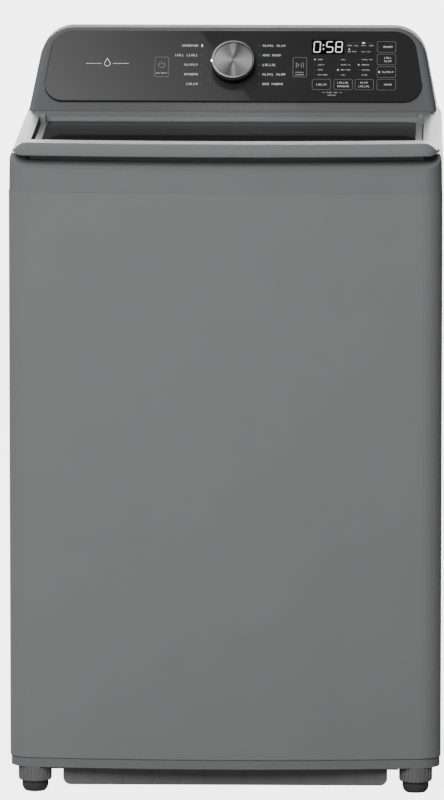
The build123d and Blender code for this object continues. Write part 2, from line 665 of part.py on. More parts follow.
def inlet_valve():
    """Twin solenoid valve: hot and cold ports out through the rear panel's pocket."""
    front = PANEL_Y - POCKET_DEPTH
    body = block(VALVE_X - 40, VALVE_X + 40, front - 34, front, VALVE_Z - 16, VALVE_Z + 16)
    for x in (VALVE_X - PORT_GAP / 2, VALVE_X + PORT_GAP / 2):
        port = rod_y(front, front + 14, x, VALVE_Z, PORT_R) - rod_y(front - 8, front + 15, x, VALVE_Z, 8)
        coil = rod_y(front - 62, front - 34, x, VALVE_Z, 15)
        body = body + port + coil - rod_y(front - 8, front + 15, x, VALVE_Z, 8)
    return body + post(VALVE_X, front - 18, VALVE_Z + 16, VALVE_Z + 26, 8)


def inlet_hose():
    """Short hose from the valve up to the dispenser housing."""
    valve_y = PANEL_Y - POCKET_DEPTH - 18
    top_z = 978.0
    nozzle_y = 285.0
    points = [(VALVE_X, valve_y, VALVE_Z + 26), (VALVE_X, valve_y, top_z),
              (DRAWER_X + 50, nozzle_y, top_z), (DRAWER_X + 5, nozzle_y, top_z)]
    return hose(points, 6.5, [18, 45])


def power_cord_gland():
    """Strain relief bush in the rear panel, bored for the mains cord."""
    bush = rod_y(PANEL_Y - 14, PANEL_Y + SHEET, GLAND_X, GLAND_Z, 8.8)
    bush += rod_y(PANEL_Y + SHEET, BACK_Y - 0.1, GLAND_X, GLAND_Z, 13)
    bush += rod_y(PANEL_Y - 14, PANEL_Y - 0.2, GLAND_X, GLAND_Z, 12)
    return bush - rod_y(PANEL_Y - 20, BACK_Y + 2, GLAND_X, GLAND_Z, GLAND_BORE_R)


# ---------------------------------------------------------------- drain

def drain_riser():
    """Drain pipe clipped up the inside of the rear panel, ending in the hose spigot."""
    x = DRAIN_X
    y = PANEL_Y - POCKET_DEPTH - 16
    pipe = hose([(x, y - 10, 230), (x, y, 300), (x, y, DRAIN_Z), (x, PANEL_Y - POCKET_DEPTH, DRAIN_Z)],
                11, [150, 15.9])
    spigot = rod_y(PANEL_Y - POCKET_DEPTH, PANEL_Y - 2, x, DRAIN_Z, DRAIN_R)
    spigot -= rod_y(PANEL_Y - POCKET_DEPTH + 4, PANEL_Y, x, DRAIN_Z, 10)
    clips = block(x - 16, x + 16, y - 2, PANEL_Y, 420, 432) + block(x - 16, x + 16, y - 2, PANEL_Y, 700, 712)
    return pipe + spigot + clips


# ---------------------------------------------------------------- suspension

def rod_place():
    """One rod's axis, seen from above."""
    return LUG_REACH, TUB_Y + LUG_REACH


def suspension_brackets():
    """Folded steel brackets in the cabinet's corners that the rods hang from."""
    x, y = rod_place()
    plate = block(x - 16, WIDTH / 2 - SHEET - 0.2, y - 18, y + 18, ROD_TOP_Z - 10, ROD_TOP_Z - 7)
    wing = block(WIDTH / 2 - SHEET - 3.2, WIDTH / 2 - SHEET - 0.2, y - 18, y + 18, 870, ROD_TOP_Z - 7)
    return at_corners(plate + wing - post(x, y, 800, 1000, ROD_R + 0.1))


def suspension_rods():
    """Rods with a ball seat on top and a spring plate at the foot."""
    x, y = rod_place()
    rod = post(x, y, SPRING_BOTTOM_Z - 12, ROD_TOP_Z - 4, ROD_R)
    rod += lathe([(0, ROD_TOP_Z - 7), (12, ROD_TOP_Z - 7), (12, ROD_TOP_Z - 4), (6, ROD_TOP_Z + 4),
                  (0, ROD_TOP_Z + 4)], x, y)
    rod += post(x, y, SPRING_BOTTOM_Z - 4, SPRING_BOTTOM_Z, 20)
    return at_corners(rod)


def suspension_springs():
    """Compression springs between the rods' plates and the cups that carry the tub."""
    x, y = rod_place()
    wire = 2.0
    radius = 14.0
    turns = 6
    height = SPRING_TOP_Z - SPRING_BOTTOM_Z - 2 * wire - 0.8
    helix = Helix(pitch=height / turns, height=height, radius=radius)
    section = Plane(origin=helix @ 0, z_dir=helix % 0) * Circle(wire)
    coil = Pos(x, y, SPRING_BOTTOM_Z + wire + 0.4) * sweep(section, helix, is_frenet=True)
    return at_corners(coil)


def suspension_cups():
    """Damper cups that slide on the rods under the tub's lugs."""
    x, y = rod_place()
    cup = ring(x, y, SPRING_TOP_Z, LUG_Z, 22, ROD_R + 0.5)
    cup += ring(x, y, LUG_Z, LUG_Z + 22, 13.5, ROD_R + 0.5)
    return at_corners(cup)


# ---------------------------------------------------------------- tub

def outer_tub():
    """Water tub with floor, bearing boss, four lugs for the suspension and a drain port."""
    inner = TUB_R - TUB_WALL
    tub = lathe([(0, TUB_FLOOR_Z), (TUB_R - 12, TUB_FLOOR_Z), (TUB_R, TUB_FLOOR_Z + 12), (TUB_R, TUB_TOP_Z),
                 (inner, TUB_TOP_Z), (inner, TUB_FLOOR_Z + 14), (inner - 10, TUB_FLOOR_Z + 4),
                 (0, TUB_FLOOR_Z + 4)], 0, TUB_Y)
    tub += post(0, TUB_Y, TUB_FLOOR_Z - 10, TUB_FLOOR_Z + 10, BEARING_R + 8)
    for i in range(8):
        rib = block(BEARING_R + 6, TUB_R - 16, -2, 2, TUB_FLOOR_Z - 10, TUB_FLOOR_Z)
        tub += Pos(0, TUB_Y, 0) * Rot(0, 0, 22.5 + 45 * i) * rib
    reach = LUG_REACH * math.sqrt(2)
    lug = block(TUB_R - 2, reach + 24, -26, 26, LUG_Z, LUG_Z + 6)
    web = block(TUB_R - 2, reach - 26, -2.5, 2.5, LUG_Z - 80, LUG_Z)
    for i in range(4):
        turn = Pos(0, TUB_Y, 0) * Rot(0, 0, 45 + 90 * i)
        tub += turn * (lug + web)
        tub -= turn * post(reach, 0, LUG_Z - 1, LUG_Z + 8, 13.7)
    tub -= post(0, TUB_Y, TUB_FLOOR_Z - 20, TUB_FLOOR_Z + 20, BEARING_R)
    tub += post(DRAIN_PORT_X, PUMP_Y, TUB_FLOOR_Z - 14, TUB_FLOOR_Z + 1, 17)
    return tub - post(DRAIN_PORT_X, PUMP_Y, TUB_FLOOR_Z - 20, TUB_FLOOR_Z + 5, 13)


def tub_ring():
    """Splash ring clipped on the tub's rim."""
    inner = 232.0
    outer = TUB_R + 3.3
    return lathe([(inner, TUB_TOP_Z), (TUB_R + 0.3, TUB_TOP_Z), (TUB_R + 0.3, TUB_TOP_Z - 16),
                  (outer, TUB_TOP_Z - 16), (outer, TUB_TOP_Z + 6), (inner + 12, TUB_TOP_Z + 11),
                  (inner, TUB_TOP_Z + 11)], 0, TUB_Y)


def tub_brace():
    """Steel plate under the tub that carries the gearcase, motor and pump."""
    low = TUB_FLOOR_Z - 18
    plate = block(-235, 120, TUB_Y - 110, TUB_Y + 110, low, low + 4)
    plate += block(-75, 75, TUB_Y, TUB_Y + 235, low, low + 4)
    for x, y in ((-225, -45), (-225, 45), (110, -100), (110, 100), (-65, 225), (65, 225)):
        plate += post(x, TUB_Y + y, low + 4, TUB_FLOOR_Z, 8)
    plate -= post(0, TUB_Y, low - 1, low + 5, BEARING_R + 2)
    return plate - post(DRAIN_PORT_X, PUMP_Y, low - 1, low + 5, 20)


def gearcase():
    """Sealed drive case under the tub: the reduction gears and the clutch are inside it."""
    top = TUB_FLOOR_Z - 18
    case = lathe([(0, 178), (60, 178), (72, 190), (72, top - 4), (86, top - 4), (86, top),
                  (0, top)], 0, TUB_Y)
    case += post(0, TUB_Y, top, TUB_FLOOR_Z - 10, BEARING_R - 2)
    case -= post(0, TUB_Y, 184, top - 10, 56)
    case -= post(0, TUB_Y, 170, 190, SHAFT_R + RUN_GAP)
    case -= post(0, TUB_Y, top - 12, TUB_FLOOR_Z, SPIN_TUBE_R + RUN_GAP)
    return case


def bearings():
    """Two ball bearings of the spin tube, in the tub's boss."""
    made = []
    for z in (TUB_FLOOR_Z - 10, TUB_FLOOR_Z - 1):
        made.append(ring(0, TUB_Y, z, z + 8, BEARING_R - 0.02, SPIN_TUBE_R + RUN_GAP))
    return Compound(made)


def tub_seal():
    """Lip seal above the bearings."""
    return lathe([(SPIN_TUBE_R + RUN_GAP, TUB_FLOOR_Z + 7.2), (BEARING_R - 0.1, TUB_FLOOR_Z + 7.2),
                  (BEARING_R - 0.1, TUB_FLOOR_Z + 10), (SPIN_TUBE_R + 3, TUB_FLOOR_Z + 14),
                  (SPIN_TUBE_R + RUN_GAP, TUB_FLOOR_Z + 14)], 0, TUB_Y)


def motor_housing():
    """Motor case hung from the brace."""
    top = TUB_FLOOR_Z - 18
    case = lathe([(0, 174), (50, 174), (60, 184), (60, top - 3), (66, top - 3), (66, top),
                  (0, top)], 0, MOTOR_Y)
    case -= post(0, MOTOR_Y, 182, top - 8, 46)
    return case - post(0, MOTOR_Y, 170, top + 1, 6 + RUN_GAP)


def motor_rotor():
    """Rotor on its shaft, inside the motor case."""
    rotor = post(0, MOTOR_Y, 186, 246, 40)
    return rotor + post(0, MOTOR_Y, 140, TUB_FLOOR_Z - 20, 6)


def pulley(radius, bore, y):
    """Belt pulley: groove between two flanges, held on a shaft of radius bore."""
    low = PULLEY_Z
    wheel = post(0, y, low, low + PULLEY_T, radius + 5)
    groove = ring(0, y, low + 2.5, low + PULLEY_T - 2.5, radius + 8, radius - 0.3)
    return wheel - groove - post(0, y, low - 1, low + PULLEY_T + 1, bore)


def drive_pulley():
    """Large pulley under the gearcase, pressed on the input shaft."""
    wheel = pulley(DRIVE_PULLEY_R, SHAFT_R, TUB_Y)
    for i in range(6):
        wheel -= Pos(0, TUB_Y, 0) * Rot(0, 0, 60 * i) * post(36, 0, PULLEY_Z - 1, PULLEY_Z + PULLEY_T + 1, 12)
    input_shaft = post(0, TUB_Y, 142, 210, SHAFT_R)
    return Compound([wheel, input_shaft])


def motor_pulley():
    """Small pulley on the motor's shaft."""
    return pulley(MOTOR_PULLEY_R, 6.0, MOTOR_Y)


def belt_outline(grow):
    """Tangent loop around both pulleys, grown by grow."""
    gap = MOTOR_Y - TUB_Y
    lean = math.asin((DRIVE_PULLEY_R - MOTOR_PULLEY_R) / gap)
    big = DRIVE_PULLEY_R + grow
    small = MOTOR_PULLEY_R + grow
    c = math.cos(lean)
    s = math.sin(lean)
    big_tip = (big * c, TUB_Y + big * s)
    small_tip = (small * c, MOTOR_Y + small * s)
    low = ThreePointArc((-big_tip[0], big_tip[1]), (0, TUB_Y - big), big_tip)
    high = ThreePointArc(small_tip, (0, MOTOR_Y + small), (-small_tip[0], small_tip[1]))
    sides = [Line(big_tip, small_tip), Line((-small_tip[0], small_tip[1]), (-big_tip[0], big_tip[1]))]
    return make_face(Curve() + [low, sides[0], high, sides[1]])


def drive_belt():
    """Belt from the motor's pulley to the drive pulley."""
    loop = extrude(belt_outline(BELT_T), 8) - extrude(belt_outline(0), 8)
    return Pos(0, 0, PULLEY_Z + 3) * loop


# ---------------------------------------------------------------- pump

def pump_body():
    """Drain pump volute under the tub's drain port, with its outlet spout."""
    case = post(PUMP_X, PUMP_Y, 196, 236, 42)
    case += post(PUMP_X, PUMP_Y, 236, TUB_FLOOR_Z - 18, 12)
    case += rod_y(PUMP_Y, PUMP_Y + 70, PUMP_X - 28, 214, 12)
    case -= post(PUMP_X, PUMP_Y, 200, 232, 37)
    case -= rod_y(PUMP_Y + 20, PUMP_Y + 71, PUMP_X - 28, 214, 9)
    case += ring(PUMP_X, PUMP_Y, 192, 200, 20, 3 + RUN_GAP)
    case += rod_x(PUMP_X + 36, PUMP_X + 52, PUMP_Y, 222, 12)
    case -= rod_x(PUMP_X + 30, PUMP_X + 53, PUMP_Y, 222, 9)
    return case - post(PUMP_X, PUMP_Y, 190, 201, 3 + RUN_GAP)


def pump_motor():
    """Motor of the drain pump."""
    case = post(PUMP_X, PUMP_Y, 140, 192, 30)
    return case - post(PUMP_X, PUMP_Y, 150, 193, 3 + RUN_GAP)


def drain_pump():
    return Compound([pump_body(), pump_motor()])


def pump_impeller():
    """Vaned wheel of the drain pump on its shaft."""
    wheel = post(PUMP_X, PUMP_Y, 203, 206, 32) + post(PUMP_X, PUMP_Y, 206, 222, 7)
    for i in range(6):
        wheel += Pos(PUMP_X, PUMP_Y, 0) * Rot(0, 0, 60 * i) * block(4, 31, -1.2, 1.2, 206, 220)
    return wheel + post(PUMP_X, PUMP_Y, 152, 206, 3)


def sump_elbow():
    """Elbow from the tub's drain port down to the pump's inlet."""
    drop = post(DRAIN_PORT_X, PUMP_Y, 222, TUB_FLOOR_Z - 14, 15)
    return drop + rod_x(PUMP_X + 52, DRAIN_PORT_X, PUMP_Y, 222, 14) + post(DRAIN_PORT_X, PUMP_Y, 208, 222, 15)


def pump_outlet_hose():
    """Hose from the pump's spout towards the riser at the back."""
    x = PUMP_X - 28
    points = [(x, PUMP_Y + 70, 214), (x, PUMP_Y + 160, 214), (DRAIN_X, PUMP_Y + 250, 205),
              (DRAIN_X, 258, 200)]
    return hose(points, 11, [120, 120])


def drain_hoses():
    return Compound([sump_elbow(), pump_outlet_hose()])


# ---------------------------------------------------------------- basket and impeller

def basket():
    """Steel wash basket, plain wall and dished floor."""
    wall = 1.2
    low = BASKET_FLOOR_Z
    outside = [(30, low), (BASKET_R - 18, low), (BASKET_R + wall, low + 20), (BASKET_R + wall, BASKET_TOP_Z)]
    inside = [(BASKET_R, BASKET_TOP_Z), (BASKET_R, low + 20.6)]
    inside += [(BASKET_R - 18.6, low + wall), (30, low + wall)]
    return lathe(outside + inside, 0, TUB_Y)


def balance_ring():
    """Sealed balance ring on the basket's rim."""
    return lathe([(226, 892), (232, BASKET_TOP_Z), (BASKET_R + 5, BASKET_TOP_Z), (BASKET_R + 8, 894),
                  (BASKET_R + 8, 922), (BASKET_R + 3, 928), (230, 928), (224, 922), (223, 900)], 0, TUB_Y)


def basket_hub():
    """Cast three-arm hub under the basket's floor."""
    low = 297.0
    hub = ring(0, TUB_Y, low, BASKET_FLOOR_Z, 62, SPIN_TUBE_R)
    for i in range(3):
        hub += Pos(0, TUB_Y, 0) * Rot(0, 0, 90 + 120 * i) * block(55, 225, -17, 17, low + 12, BASKET_FLOOR_Z)
    return hub


def spin_tube():
    """Hollow shaft that turns the basket."""
    return ring(0, TUB_Y, 222, BASKET_FLOOR_Z + 1, SPIN_TUBE_R, SHAFT_R + RUN_GAP)


def agitator_shaft():
    """Inner shaft from the gearcase up to the impeller."""
    return post(0, TUB_Y, 216, 346, SHAFT_R)


def impeller():
    """Low wash impeller with a domed hub and six curved vanes."""
    low = 322.0
    disc = lathe([(0, low), (160, low), (168, low + 6), (166, low + 11), (150, low + 10), (70, low + 16),
                  (44, low + 34), (24, low + 44), (0, low + 44)], 0, TUB_Y)
    for i in range(6):
        vane = Pos(96, 0, low + 14) * Rot(0, 90, 12) * Cylinder(11, 116)
        vane &= block(30, 160, -60, 60, low + 4, low + 40)
        disc += Pos(0, TUB_Y, 0) * Rot(0, 0, 60 * i) * vane
    return disc - post(0, TUB_Y, low - 1, 346, SHAFT_R)


def impeller_cap():
    """Cap over the impeller's bolt."""
    cap = post(0, TUB_Y, 366, 374, 20)
    return fillet(cap.edges().sort_by(Axis.Z)[-1], 5)


# ---------------------------------------------------------------- export

NODES = {
    "cabinet_shell": cabinet_shell, "rear_panel": rear_panel, "base_frame": base_frame,
    "front_plinth": front_plinth, "foot_bosses": foot_bosses, "top_cover": top_cover,
    "lid_frame": lid_frame, "lid_glass": lid_glass, "lid_inner_frame": lid_inner_frame,
    "lid_bumpers": lid_bumpers, "lid_hinge_arms": lid_hinge_arms, "lid_hinge_pins": lid_hinge_pins,
    "lid_strike": lid_strike, "lid_lock_body": lid_lock_body, "lid_lock_bolt": lid_lock_bolt,
    "console_housing": console_housing, "fascia_panel": fascia_panel,
    "console_rear_cover": console_rear_cover, "screws": screws, "knob_skirt": knob_skirt,
    "knob_ring": knob_ring, "knob_face": knob_face, "knob_encoder": knob_encoder,
    "display_board": display_board, "control_box": control_box,
    "dispenser_housing": dispenser_housing, "dispenser_drawer": dispenser_drawer,
    "inlet_valve": inlet_valve, "inlet_hose": inlet_hose, "power_cord_gland": power_cord_gland,
    "drain_riser": drain_riser, "suspension_brackets": suspension_brackets,
    "suspension_rods": suspension_rods, "suspension_springs": suspension_springs,
    "suspension_cups": suspension_cups, "outer_tub": outer_tub, "tub_ring": tub_ring,
    "tub_brace": tub_brace, "gearcase": gearcase, "bearings": bearings, "tub_seal": tub_seal,
    "motor_housing": motor_housing, "motor_rotor": motor_rotor, "motor_pulley": motor_pulley,
    "drive_pulley": drive_pulley, "drive_belt": drive_belt, "drain_pump": drain_pump,
    "pump_impeller": pump_impeller, "drain_hoses": drain_hoses, "basket": basket,
    "balance_ring": balance_ring, "basket_hub": basket_hub, "spin_tube": spin_tube,
    "agitator_shaft": agitator_shaft, "impeller": impeller, "impeller_cap": impeller_cap,
}
FEET = {
    "foot_front_left": (-FOOT_X, FOOT_FRONT_Y), "foot_front_right": (FOOT_X, FOOT_FRONT_Y),
    "foot_rear_left": (-FOOT_X, FOOT_REAR_Y), "foot_rear_right": (FOOT_X, FOOT_REAR_Y),
}

os.makedirs("parts", exist_ok=True)
for node, make in NODES.items():
    export_step(make(), f"parts/{node}.step")
for node, (x, y) in FEET.items():
    export_step(foot(x, y), f"parts/{node}.step")
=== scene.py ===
import json
import math

import bmesh
import bpy
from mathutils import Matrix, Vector


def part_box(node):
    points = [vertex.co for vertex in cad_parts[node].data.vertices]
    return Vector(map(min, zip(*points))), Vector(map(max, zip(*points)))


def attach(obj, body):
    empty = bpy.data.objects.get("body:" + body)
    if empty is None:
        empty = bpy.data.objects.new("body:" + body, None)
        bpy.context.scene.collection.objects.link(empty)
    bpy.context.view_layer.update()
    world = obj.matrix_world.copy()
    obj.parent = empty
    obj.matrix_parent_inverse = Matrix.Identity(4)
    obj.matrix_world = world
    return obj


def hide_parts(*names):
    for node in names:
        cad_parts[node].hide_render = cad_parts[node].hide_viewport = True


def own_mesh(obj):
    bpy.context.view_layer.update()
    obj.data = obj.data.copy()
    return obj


# Top load washing machine: materials, printed controls, drum detail, light and camera
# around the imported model. Metres, front of the machine towards -Y.

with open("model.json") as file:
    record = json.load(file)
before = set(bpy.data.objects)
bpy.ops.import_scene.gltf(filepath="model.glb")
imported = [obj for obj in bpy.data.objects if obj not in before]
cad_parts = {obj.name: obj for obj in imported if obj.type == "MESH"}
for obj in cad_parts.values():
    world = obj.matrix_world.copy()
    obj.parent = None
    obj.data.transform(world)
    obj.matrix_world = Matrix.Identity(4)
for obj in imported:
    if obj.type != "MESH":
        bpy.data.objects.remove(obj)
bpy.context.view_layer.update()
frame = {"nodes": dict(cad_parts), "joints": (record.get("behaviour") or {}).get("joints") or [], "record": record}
NODES = frame["nodes"]
MM = 0.001
UP = Vector((0, 0, 1))


# ---------------------------------------------------------------- camera

CAMERA_PLACE = (0.340, -14.800, 2.724)
CAMERA_DOWN = 8.219
CAMERA_LEFT = 1.364
LENS_MM = 416.5
CLIP_NEAR = 0.5
CLIP_FAR = 100.0


def make_camera():
    """Long lens a little above the lid, as the machine is usually pictured."""
    data = bpy.data.cameras.new("camera")
    data.sensor_fit = "AUTO"
    data.sensor_width = 36.0
    data.lens = LENS_MM
    data.clip_start = CLIP_NEAR
    data.clip_end = CLIP_FAR
    camera = bpy.data.objects.new("camera", data)
    camera.location = CAMERA_PLACE
    camera.rotation_euler = (math.radians(90 - CAMERA_DOWN), 0, math.radians(CAMERA_LEFT))
    bpy.context.scene.collection.objects.link(camera)
    bpy.context.scene.camera = camera


make_camera()


# ---------------------------------------------------------------- materials

def new_material(name):
    """Material with its node tree, shader and links."""
    material = bpy.data.materials.new(name)
    material.use_nodes = True
    tree = material.node_tree
    return material, tree, tree.nodes["Principled BSDF"]


def add_node(tree, kind, **values):
    """Node with input values by name or settings by attribute."""
    node = tree.nodes.new(kind)
    for key, value in values.items():
        if key in node.inputs:
            node.inputs[key].default_value = value
        else:
            setattr(node, key, value)
    return node


def noise(tree, scale, detail=3.0, stretch=(1, 1, 1)):
    """Noise in object space, stretched along the axes."""
    place = add_node(tree, "ShaderNodeTexCoord")
    mapping = add_node(tree, "ShaderNodeMapping")
    mapping.inputs["Scale"].default_value = stretch
    texture = add_node(tree, "ShaderNodeTexNoise", Scale=scale, Detail=detail)
    tree.links.new(place.outputs["Object"], mapping.inputs["Vector"])
    tree.links.new(mapping.outputs["Vector"], texture.inputs["Vector"])
    return texture.outputs["Fac"]


def ramp(tree, source, low, high, start=0.3, end=0.7):
    """Colour or grey between two values as the source goes from start to end."""
    node = add_node(tree, "ShaderNodeValToRGB")
    node.color_ramp.elements[0].position = start
    node.color_ramp.elements[1].position = end
    node.color_ramp.elements[0].color = low if isinstance(low, tuple) else (low, low, low, 1)
    node.color_ramp.elements[1].color = high if isinstance(high, tuple) else (high, high, high, 1)
    tree.links.new(source, node.inputs["Fac"])
    return node.outputs["Color"]


def map_range(tree, source, start, end, low, high):
    """Straight change from low to high as the source goes from start to end."""
    node = add_node(tree, "ShaderNodeMapRange")
    for name, value in (("From Min", start), ("From Max", end), ("To Min", low), ("To Max", high)):
        node.inputs[name].default_value = value
    tree.links.new(source, node.inputs["Value"])
    return node.outputs["Result"]


def combine(tree, operation, first, second):
    """Sum or product of two sources."""
    node = add_node(tree, "ShaderNodeMath", operation=operation)
    tree.links.new(first, node.inputs[0])
    tree.links.new(second, node.inputs[1])
    return node.outputs[0]


def bump(tree, shader, source, strength, distance):
    """Small surface relief from a grey source."""
    node = add_node(tree, "ShaderNodeBump", Strength=strength, Distance=distance)
    tree.links.new(source, node.inputs["Height"])
    tree.links.new(node.outputs["Normal"], shader.inputs["Normal"])


DRIFT_SCALE = 9.0
SMUDGE_SCALE = 34.0
GLOSS_SPREAD = 0.04
COAT_ROUGH = 0.06
GRAIN_HEIGHT = 0.0002


def plastic(name, colour, rough, grain=900.0, relief=0.06, coat=0.0, spread=0.015, metal=0.0, index=1.5):
    """Painted or moulded surface: slight colour drift, uneven gloss and fine relief."""
    material, tree, shader = new_material(name)
    drift = noise(tree, DRIFT_SCALE)
    low = tuple(c * (1 - spread) for c in colour) + (1,)
    high = tuple(min(c * (1 + spread), 1) for c in colour) + (1,)
    tree.links.new(ramp(tree, drift, low, high), shader.inputs["Base Color"])
    smudge = noise(tree, SMUDGE_SCALE, 5.0)
    gloss = ramp(tree, smudge, rough * (1 - GLOSS_SPREAD), rough * (1 + GLOSS_SPREAD))
    tree.links.new(gloss, shader.inputs["Roughness"])
    shader.inputs["Metallic"].default_value = metal
    shader.inputs["IOR"].default_value = index
    shader.inputs["Coat Weight"].default_value = coat
    shader.inputs["Coat Roughness"].default_value = COAT_ROUGH
    bump(tree, shader, noise(tree, grain, 2.0), relief, GRAIN_HEIGHT)
    return material


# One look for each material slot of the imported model; the colours are linear.
LOOKS = {
    "cabinet_paint": dict(colour=(0.2, 0.202, 0.205), rough=0.45, coat=0.05),
    "galvanised_steel": dict(colour=(0.5, 0.51, 0.52), rough=0.4, metal=1.0, spread=0.07),
    "base_plastic": dict(colour=(0.16, 0.16, 0.163), rough=0.5),
    "rim_plastic": dict(colour=(0.17, 0.172, 0.175), rough=0.45),
    "top_plastic": dict(colour=(0.19, 0.192, 0.195), rough=0.4, index=1.2),
    "tinted_glass": dict(colour=(0.012, 0.012, 0.013), rough=0.06, relief=0.0, index=1.07),
    "lid_liner": dict(colour=(0.22, 0.22, 0.225), rough=0.45),
    "soft_rubber": dict(colour=(0.02, 0.02, 0.02), rough=0.7),
    "hinge_plastic": dict(colour=(0.2, 0.2, 0.21), rough=0.4),
    "black_plastic": dict(colour=(0.03, 0.03, 0.032), rough=0.4),
    # console_plastic is darker than top_plastic, though it is the same grey plastic: painted shade for the
    # console's face, which gets less light.
    "console_plastic": dict(colour=(0.13, 0.132, 0.135), rough=0.5, index=1.08),
    "fascia_gloss": dict(colour=(0.027, 0.027, 0.028), rough=0.02, relief=0.0),
    "screw_steel": dict(colour=(0.6, 0.6, 0.61), rough=0.3, metal=1.0),
    "knob_black": dict(colour=(0.008, 0.008, 0.009), rough=0.4),
    "knob_chrome": dict(colour=(0.8, 0.8, 0.81), rough=0.08, metal=1.0, relief=0.0),
    "knob_aluminium": dict(colour=(0.7, 0.7, 0.71), rough=0.25, metal=1.0),
    "circuit_board": dict(colour=(0.03, 0.15, 0.06), rough=0.4),
    "white_plastic": dict(colour=(0.7, 0.7, 0.69), rough=0.4),
    "hose_rubber": dict(colour=(0.03, 0.03, 0.03), rough=0.6),
    "hose_plastic": dict(colour=(0.35, 0.35, 0.35), rough=0.5),
    "shaft_steel": dict(colour=(0.5, 0.5, 0.5), rough=0.3, metal=1.0),
    "spring_steel": dict(colour=(0.3, 0.3, 0.31), rough=0.35, metal=1.0),
    "tub_plastic": dict(colour=(0.55, 0.56, 0.55), rough=0.5),
    "cast_aluminium": dict(colour=(0.5, 0.51, 0.52), rough=0.5, metal=1.0),
    "motor_paint": dict(colour=(0.06, 0.06, 0.065), rough=0.5),
    "basket_steel": dict(colour=(0.62, 0.62, 0.63), rough=0.25, metal=1.0),
    "ring_plastic": dict(colour=(0.35, 0.36, 0.38), rough=0.4),
    "impeller_plastic": dict(colour=(0.3, 0.32, 0.35), rough=0.35),
    "foot_rubber": dict(colour=(0.055, 0.055, 0.055), rough=0.6),
}
MATERIALS = {slot: plastic(slot, **look) for slot, look in LOOKS.items()}


def dress_nodes():
    """Give every CAD node the material of its slot."""
    for row in frame["record"]["subparts"]:
        piece = NODES[row["node"]]
        piece.data.materials.clear()
        piece.data.materials.append(MATERIALS[row["material_slot"]])


dress_nodes()


# ---------------------------------------------------------------- making a piece

def add_piece(name, mesh, material, body):
    """Finish a mesh, link it and let it ride on a body."""
    bmesh.ops.recalc_face_normals(mesh, faces=mesh.faces)
    data = bpy.data.meshes.new(name)
    mesh.to_mesh(data)
    mesh.free()
    data.materials.append(material)
    piece = bpy.data.objects.new(name, data)
    bpy.context.scene.collection.objects.link(piece)
    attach(piece, body)
    return piece


# ---------------------------------------------------------------- shapes on the fascia
# Places on the fascia are in millimetres: u to the right of the knob's axis, v up the slope from it.

KNOB_JOINT = next(j for j in frame["joints"] if j["name"] == "knob_turn")
FACE_POINT = Vector(KNOB_JOINT["pos_m"])
FACE_OUT = Vector(KNOB_JOINT["axis"]).normalized()
FACE_RIGHT = Vector((1, 0, 0))
FACE_UP = FACE_OUT.cross(FACE_RIGHT)
INK = 0.06


def on_face(u, v, lift):
    """Point on the fascia, lifted off it by some millimetres."""
    return FACE_POINT + (FACE_RIGHT * u + FACE_UP * v + FACE_OUT * lift) * MM


def add_prism(mesh, outline, low=0, high=INK):
    """Thin raised shape from an outline on the fascia."""
    bottom = [mesh.verts.new(on_face(u, v, low)) for u, v in outline]
    top = [mesh.verts.new(on_face(u, v, high)) for u, v in outline]
    count = len(outline)
    mesh.faces.new(top)
    mesh.faces.new(bottom[::-1])
    for i in range(count):
        j = (i + 1) % count
        mesh.faces.new((bottom[i], bottom[j], top[j], top[i]))


def add_band(mesh, outer, inner):
    """Thin raised band between two outlines with as many points."""
    count = len(outer)
    rings = [[mesh.verts.new(on_face(u, v, lift)) for u, v in line]
             for line, lift in ((outer, 0), (outer, INK), (inner, INK), (inner, 0))]
    for k in range(4):
        a, b = rings[k], rings[(k + 1) % 4]
        for i in range(count):
            j = (i + 1) % count
            mesh.faces.new((a[i], a[j], b[j], b[i]))


def bar(u, v, width, height):
    """Upright rectangle centred at u, v."""
    w, h = width / 2, height / 2
    return [(u - w, v - h), (u + w, v - h), (u + w, v + h), (u - w, v + h)]


def rounded_bar(u, v, width, height, radius, steps=6):
    """Rounded rectangle centred at u, v."""
    points = []
    for corner, (sx, sy) in enumerate(((1, -1), (1, 1), (-1, 1), (-1, -1))):
        cu = u + sx * (width / 2 - radius)
        cv = v + sy * (height / 2 - radius)
        for i in range(steps + 1):
            angle = math.radians(90 * (corner - 1) + 90 * i / steps)
            points.append((cu + radius * math.cos(angle), cv + radius * math.sin(angle)))
    return points


def arc_band(mesh, u, v, radius, width, start, end, steps=20):
    """Part of a circle's outline, between two angles in degrees."""
    outline = []
    there_and_back = ((radius + width / 2, range(steps + 1)), (radius - width / 2, range(steps, -1, -1)))
    for r, order in there_and_back:
        for i in order:
            angle = math.radians(start + (end - start) * i / steps)
            outline.append((u + r * math.cos(angle), v + r * math.sin(angle)))
    add_prism(mesh, outline)


GLYPH_WIDTH = 0.62
GLYPH_STROKE = 0.13
GLYPH_PITCH = 0.88
SHORT_STEM = 0.6
CROSS_BAR = (0.0, -0.42, 0.25)
WORD_LEAD = 0.15
LONG_WORD = 7
WORD_GAP = 3


def add_glyph(mesh, u, v, height, kind):
    """One small mark that stands in for a letter; it is not a letter of any alphabet."""
    stroke = height * GLYPH_STROKE
    width = height * GLYPH_WIDTH
    add_prism(mesh, bar(u, v, stroke, height))
    if kind != 1:
        stem = height * (SHORT_STEM if kind == 2 else 1.0)
        add_prism(mesh, bar(u + width - stroke, v, stroke, stem))
    level = v + CROSS_BAR[kind] * height
    add_prism(mesh, bar(u + width / 2 - stroke / 2, level, width - 2 * stroke, stroke))


def add_word(mesh, u, v, width, height, seed, align="left"):
    """Row of stand-in marks as long as a printed label; a long one has a gap like two words."""
    pitch = height * GLYPH_PITCH
    count = max(round(width / pitch), 1)
    start = u if align == "left" else u - count * pitch
    if align == "centre":
        start = u - count * pitch / 2
    for i in range(count):
        if count > LONG_WORD and i == WORD_GAP + seed % 3:
            continue
        add_glyph(mesh, start + (i + WORD_LEAD) * pitch, v, height, (seed + i * i + i) % 3)


